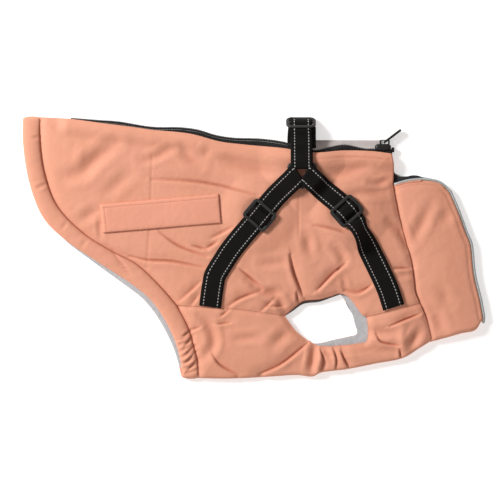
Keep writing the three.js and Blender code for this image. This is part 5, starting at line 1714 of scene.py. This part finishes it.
    def loop(
        self, name: str, corners: np.ndarray, half: tuple[float, float], place: Callable[[np.ndarray], np.ndarray],
    ) -> bpy.types.Object:
        """A flat plastic loop with rounded corners.

        Args:
            name: the new piece's name.
            corners: the corners of its middle line.
            half: half the width and half the thickness of its bars.
            place: the plane that it lies in.

        Returns:
            The piece.
        """
        path = []
        for k, corner in enumerate(corners):
            before, after = corners[k - 1], corners[(k + 1) % len(corners)]
            start, end = (corner + LOOP_ROUND * (q - corner) / np.linalg.norm(q - corner) for q in (before, after))
            t = np.linspace(0, 1, 9)[:, None]
            path.append((1 - t) ** 2 * start + 2 * t * (1 - t) * corner + t**2 * end)
        path = np.vstack([*path, path[0][:1]])
        ahead = np.roll(path[:-1], -1, axis=0) - np.roll(path[:-1], 1, axis=0)
        out = np.stack([ahead[:, 1], -ahead[:, 0]], axis=1) / np.linalg.norm(ahead, axis=1, keepdims=True)
        out = np.vstack([out, out[:1]])
        across, up = self.bar_section(half)
        points = np.dstack([path[:, None] + out[:, None] * across[..., None], up + 0 * path[:, :1]])
        piece = capped(cloth(name, place(points), wrap=Wrap(first=True, second=True)))
        return self.finishes.dress(piece, "plastic")

    @staticmethod
    def bar_section(half: tuple[float, float]) -> tuple[np.ndarray, np.ndarray]:
        """The rounded section of a plastic bar, across and up, from half its width and half its thickness."""
        turn = np.linspace(0, 2 * np.pi, 17)[None, :]
        across, up = (np.sign(wave) * np.abs(wave) ** 0.6 for wave in (np.cos(turn), np.sin(turn)))
        return half[0] * across, half[1] * up

    def ring(self, node: str, name: str) -> None:
        """A triangular ring with rounded corners, in the place of a CAD ring.

        Args:
            node: the CAD node.
            name: the new piece's name.
        """
        low, high = (corner.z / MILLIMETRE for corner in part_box(node))
        place = self.plane((0, 0, (low + high) / 2), 0.0)
        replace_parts(self.loop(name, np.array(RING_CORNERS), (RING_HALF_BAR, (high - low) / 2), place), node)

    def top_glide(self) -> None:
        """The tri-glide that leans at the top of the back strap: a rounded frame and its middle bar."""
        place = self.plane(TOP_GLIDE, TOP_TILT)
        corners = np.array(((-12.1, -7), (12.1, -7), (12.1, 7), (-12.1, 7)))
        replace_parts(self.loop("adjuster_top", corners, (1.5, 0.95), place), "top_slider")
        across, up = self.bar_section((1.3, 0.8))
        along_bar = np.linspace(-11.6, 11.6, 9)[:, None]
        points = np.dstack([along_bar + 0 * across, across + 0 * along_bar, up + 0 * along_bar])
        bar = capped(cloth("adjuster_top_bar", place(points), wrap=Wrap(second=True)))
        self.finishes.dress(bar, "plastic")

    def back_rows(self) -> list[tuple[float, float, float, float, float]]:
        """The places along the back strap, from the near ring over the back to the far ring."""
        near = self.plate_bed("ring_near", RING_THICK, False)
        far = self.plate_bed("ring_far", RING_THICK, True)
        window = RING_WINDOW_TOP
        edge = float(self.form.near_outer(np.array((245.0, 253.6, 262.0)), np.full(3, 205.0)).max())
        rows = [(253.8, window + 5, near + STRAP_OVER, 8, 0), (253.8, window - 0.3, near + STRAP_OVER, 8, 0),
                (253.8, window - 0.9, near + 2, 9, 0), (253.8, window - 0.9, near + 3.4, 14, 0),
                (253.8, window - 0.3, near + OVER_RING, 19.6, 0), (253.6, window + 5.2, near + OVER_RING, 20, 0),
                (253.6, 201, max(near + 3.4, edge + 1.6), 20, 0), (253.6, 206, edge + 1.3, 20, 0),
                (253.6, 214, edge + 1.2, 20, 0), (253.6, 221, 13.4, 20, 0)]
        tilt = TOP_TILT
        for s, h in ((-9.2, -1.9), (-6.6, -1.9), (-4.8, -1.2), (-3.4, 0.9), (-1.7, 1.9), (0, 2), (1.7, 1.9),
                     (3.4, 0.9), (4.8, -1.2), (6.4, -1.9)):
            y = 233.4 + s * math.cos(tilt) + h * math.sin(tilt)
            rows.append((253.4, y, 7.9 - s * math.sin(tilt) + h * math.cos(tilt), 20, 0))
        lifts = self.form.lift(np.array((253.0, 253.0)), np.array((207.0, 203.0))) - 1.3
        rows += [(252.4, 233, 0.9, 20, 0), (251.4, 226, 0.6, 20, 0), (251, 216, 0.6, 20, 0),
                 (252, 208, max(0.6, lifts[0]), 20, 0), (253.2, 203, max(0.6, lifts[1]), 20, 0),
                 (253.6, window + 5.2, far - OVER_RING, 20, 0), (253.8, window - 0.3, far - OVER_RING, 19.6, 0),
                 (253.8, window - 0.9, far - 3.4, 14, 0), (253.8, window - 0.9, far - 2, 9, 0),
                 (253.8, window - 0.3, far - STRAP_OVER, 8, 0), (253.8, window + 5, far - STRAP_OVER, 8, 0)]
        return rows

    def spare_rows(self, back: Sequence[Sequence[float]]) -> list[tuple[float, float, float, float, float]]:
        """The back strap's spare end, doubled behind its near run above the back."""
        rows = []
        for k in range(8, 13):
            heading = np.array(back[k + 1][1:3]) - np.array(back[k - 1][1:3])
            y, z = heading / np.linalg.norm(heading)
            rows.append((256.6, back[k][1] + z * 1.3, back[k][2] - y * 1.3, WEBBING_WIDTH, 0.0))
        return [(256.6, 209.5, rows[0][2], WEBBING_WIDTH, 0.0), *rows]

    def build(self) -> None:
        """Builds and dresses the harness."""
        dress = self.finishes.dress
        for strap in STRAPS:
            piece = self.ribbon(strap.name.replace("strap", "web"), self.strap_rows(strap), False)
            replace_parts(piece, strap.name)
            glide = strap.name.replace("strap", "glide")
            dress(softened(glide, glide.replace("glide", "adjuster"), 0.5, narrowed=strap.glide_frame()), "plastic")
        back = self.back_rows()
        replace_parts(self.ribbon("web_back", back, True), "back_strap")
        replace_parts(self.ribbon("web_back_spare", self.spare_rows(back), True), "back_strap_end")
        self.top_glide()
        self.ring("ring_near", "triangle_ring_near")
        self.ring("ring_far", "triangle_ring_far")


@dataclass
class Stitching:
    """The rows of stitches that show: on the flap, beside the zip and inside the collar's piping.

    Args:
        form: the heights of the cloth.
        finishes: the finishes.
        pitch: the pitch of the stitches.
        length: the length of one.
        thread: its thickness.
    """

    form: Form
    finishes: Finishes
    pitch: float = 2.7
    length: float = 1.9
    thread: float = 0.34

    def row(self, bm: bmesh.types.BMesh, line: np.ndarray, height: Height) -> None:
        """Adds one row of stitches along a line.

        Args:
            bm: the bmesh that they go into.
            line: the row's points x, y.
            height: the height of the cloth under them.
        """
        total = float(np.linalg.norm(np.diff(line, axis=0), axis=1).sum())
        spots = resampled(line, max(2, int(total / self.pitch)))
        heading = np.gradient(spots, axis=0)
        heights = height(spots[:, 0], spots[:, 1])
        for spot, way, z in zip(spots, heading, heights):
            place = Matrix.Translation(Vector(to_frame(np.array((*spot, z + 0.08)))))
            place = place @ Matrix.Rotation(math.atan2(way[1], way[0]), 4, "Z")
            size = Matrix.Diagonal((self.length * MILLIMETRE, self.thread * MILLIMETRE, self.thread * MILLIMETRE, 1))
            bmesh.ops.create_uvsphere(bm, u_segments=8, v_segments=5, radius=0.5, matrix=place @ size)

    def build(self, collar: Collar) -> None:
        """Builds and dresses the rows of thread.

        Args:
            collar: the collar, whose upper face carries one of the rows.
        """
        top_rear, top_front, low_front, low_rear = (np.array(c, float) for c in FLAP_CORNERS)
        down = (low_rear - top_rear) / np.linalg.norm(low_rear - top_rear)
        across = (top_front - top_rear) / np.linalg.norm(top_front - top_rear)
        def on_flap(x: np.ndarray, y: np.ndarray) -> np.ndarray:
            """The flap's upper face at its stitched groove."""
            return self.form.near_outer(x, y, 0.5) + 1.95
        bm = bmesh.new()
        self.row(bm, np.array((top_rear + 3.3 * down + 3.3 * across, top_front + 3.3 * down - across)), on_flap)
        self.row(bm, np.array((top_rear + 3.3 * down + 3.3 * across, low_rear + 3.3 * across - down)), on_flap)
        piece = piece_of(bm, "flap_stitches")
        self.finishes.dress(piece, "flap_fabric")
        bm = bmesh.new()
        zip_row = self.form.back[self.form.back[:, 0] > 268] - np.array((0.0, 6.0))
        self.row(bm, zip_row[:-1], self.form.near_outer)
        free = Collar.inset(np.vstack([along(COLLAR_TOP_NEAR, 20), along(COLLAR_EDGE, 40)[1:]]), 6.2)
        self.row(bm, free[3:-2], collar.upper)
        piece = piece_of(bm, "shell_stitches")
        self.finishes.dress(piece, "shell_fabric")


@dataclass
class Studio:
    """The pale floor, the soft light from the upper left and the camera straight above.

    Args:
        distance: the camera's height over the cloth, in metres.
        lens: its focal length in millimetres, on a sensor 36 mm wide.
        aim: where it looks, in the frame's metres.
        cloth: the height of the cloth that the photograph's scale holds for.
    """

    distance: float = 1.5
    lens: float = 118.8
    aim: tuple[float, float] = (-0.0038, -0.0022)
    cloth: float = 0.008

    def floor(self) -> None:
        """Lays the floor under the coat."""
        bm = bmesh.new()
        bmesh.ops.create_grid(bm, x_segments=4, y_segments=4, size=6)
        bmesh.ops.translate(bm, verts=bm.verts, vec=(0, 0, -0.0002))
        mesh = bpy.data.meshes.new("floor")
        bm.to_mesh(mesh)
        bm.free()
        floor = bpy.data.objects.new("floor", mesh)
        bpy.context.scene.collection.objects.link(floor)
        board = Board("pale floor")
        board.shader.inputs["Roughness"].default_value = 0.9
        board.shader.inputs["Specular IOR Level"].default_value = 0.1
        board.shader.inputs["Base Color"].default_value = (0.8, 0.8, 0.8, 1)
        board.shader.inputs["Emission Color"].default_value = (1, 1, 1, 1)
        board.shader.inputs["Emission Strength"].default_value = 0.5
        mesh.materials.append(board.material)

    def lamp(self, name: str, place: Sequence[float], size: float, power: float) -> None:
        """Hangs one soft lamp that looks at the coat.

        Args:
            name: its name.
            place: where it hangs, in metres.
            size: its width in metres.
            power: its power in watts.
        """
        data = bpy.data.lights.new(name, "AREA")
        data.shape = "DISK"
        data.size = size
        data.energy = power
        lamp = bpy.data.objects.new(name, data)
        lamp.location = place
        lamp.rotation_euler = (-Vector(place)).to_track_quat("-Z", "Y").to_euler()
        bpy.context.scene.collection.objects.link(lamp)

    def build(self) -> None:
        """Builds the floor, the lamps, the surrounding light and the camera."""
        scene = bpy.context.scene
        self.floor()
        self.lamp("key lamp", (-1.65, 0.95, 1.3), 0.7, 58.5)
        self.lamp("fill lamp", (-0.1, -1.0, 0.9), 0.8, 2.0)
        world = bpy.data.worlds.new("soft surround")
        world.use_nodes = True
        world.node_tree.nodes["Background"].inputs["Color"].default_value = (1.0, 0.9, 0.85, 1)
        world.node_tree.nodes["Background"].inputs["Strength"].default_value = 0.31
        scene.world = world
        scene.view_settings.view_transform = "Standard"
        data = bpy.data.cameras.new("camera")
        data.sensor_width = 36
        data.lens = self.lens
        data.clip_start, data.clip_end = 0.01, 100
        camera = bpy.data.objects.new("camera", data)
        camera.location = (*self.aim, self.distance + self.cloth)
        scene.collection.objects.link(camera)
        scene.camera = camera


def main() -> None:
    """Builds every piece of the coat in order, then the studio."""
    logging.basicConfig(level=logging.INFO, format="%(name)s: %(message)s")
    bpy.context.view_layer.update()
    form, finishes = Form(), Finishes()
    Panels(form, finishes).build()
    Linings(form, finishes).build()
    HemCasing(form, finishes).build()
    PocketFlap(form, finishes).build()
    collar = Collar(form, finishes)
    collar.build()
    BackZip(form, finishes).build()
    Harness(form, finishes).build()
    Stitching(form, finishes).build(collar)
    Studio().build()


if __name__ == "__main__":
    main()
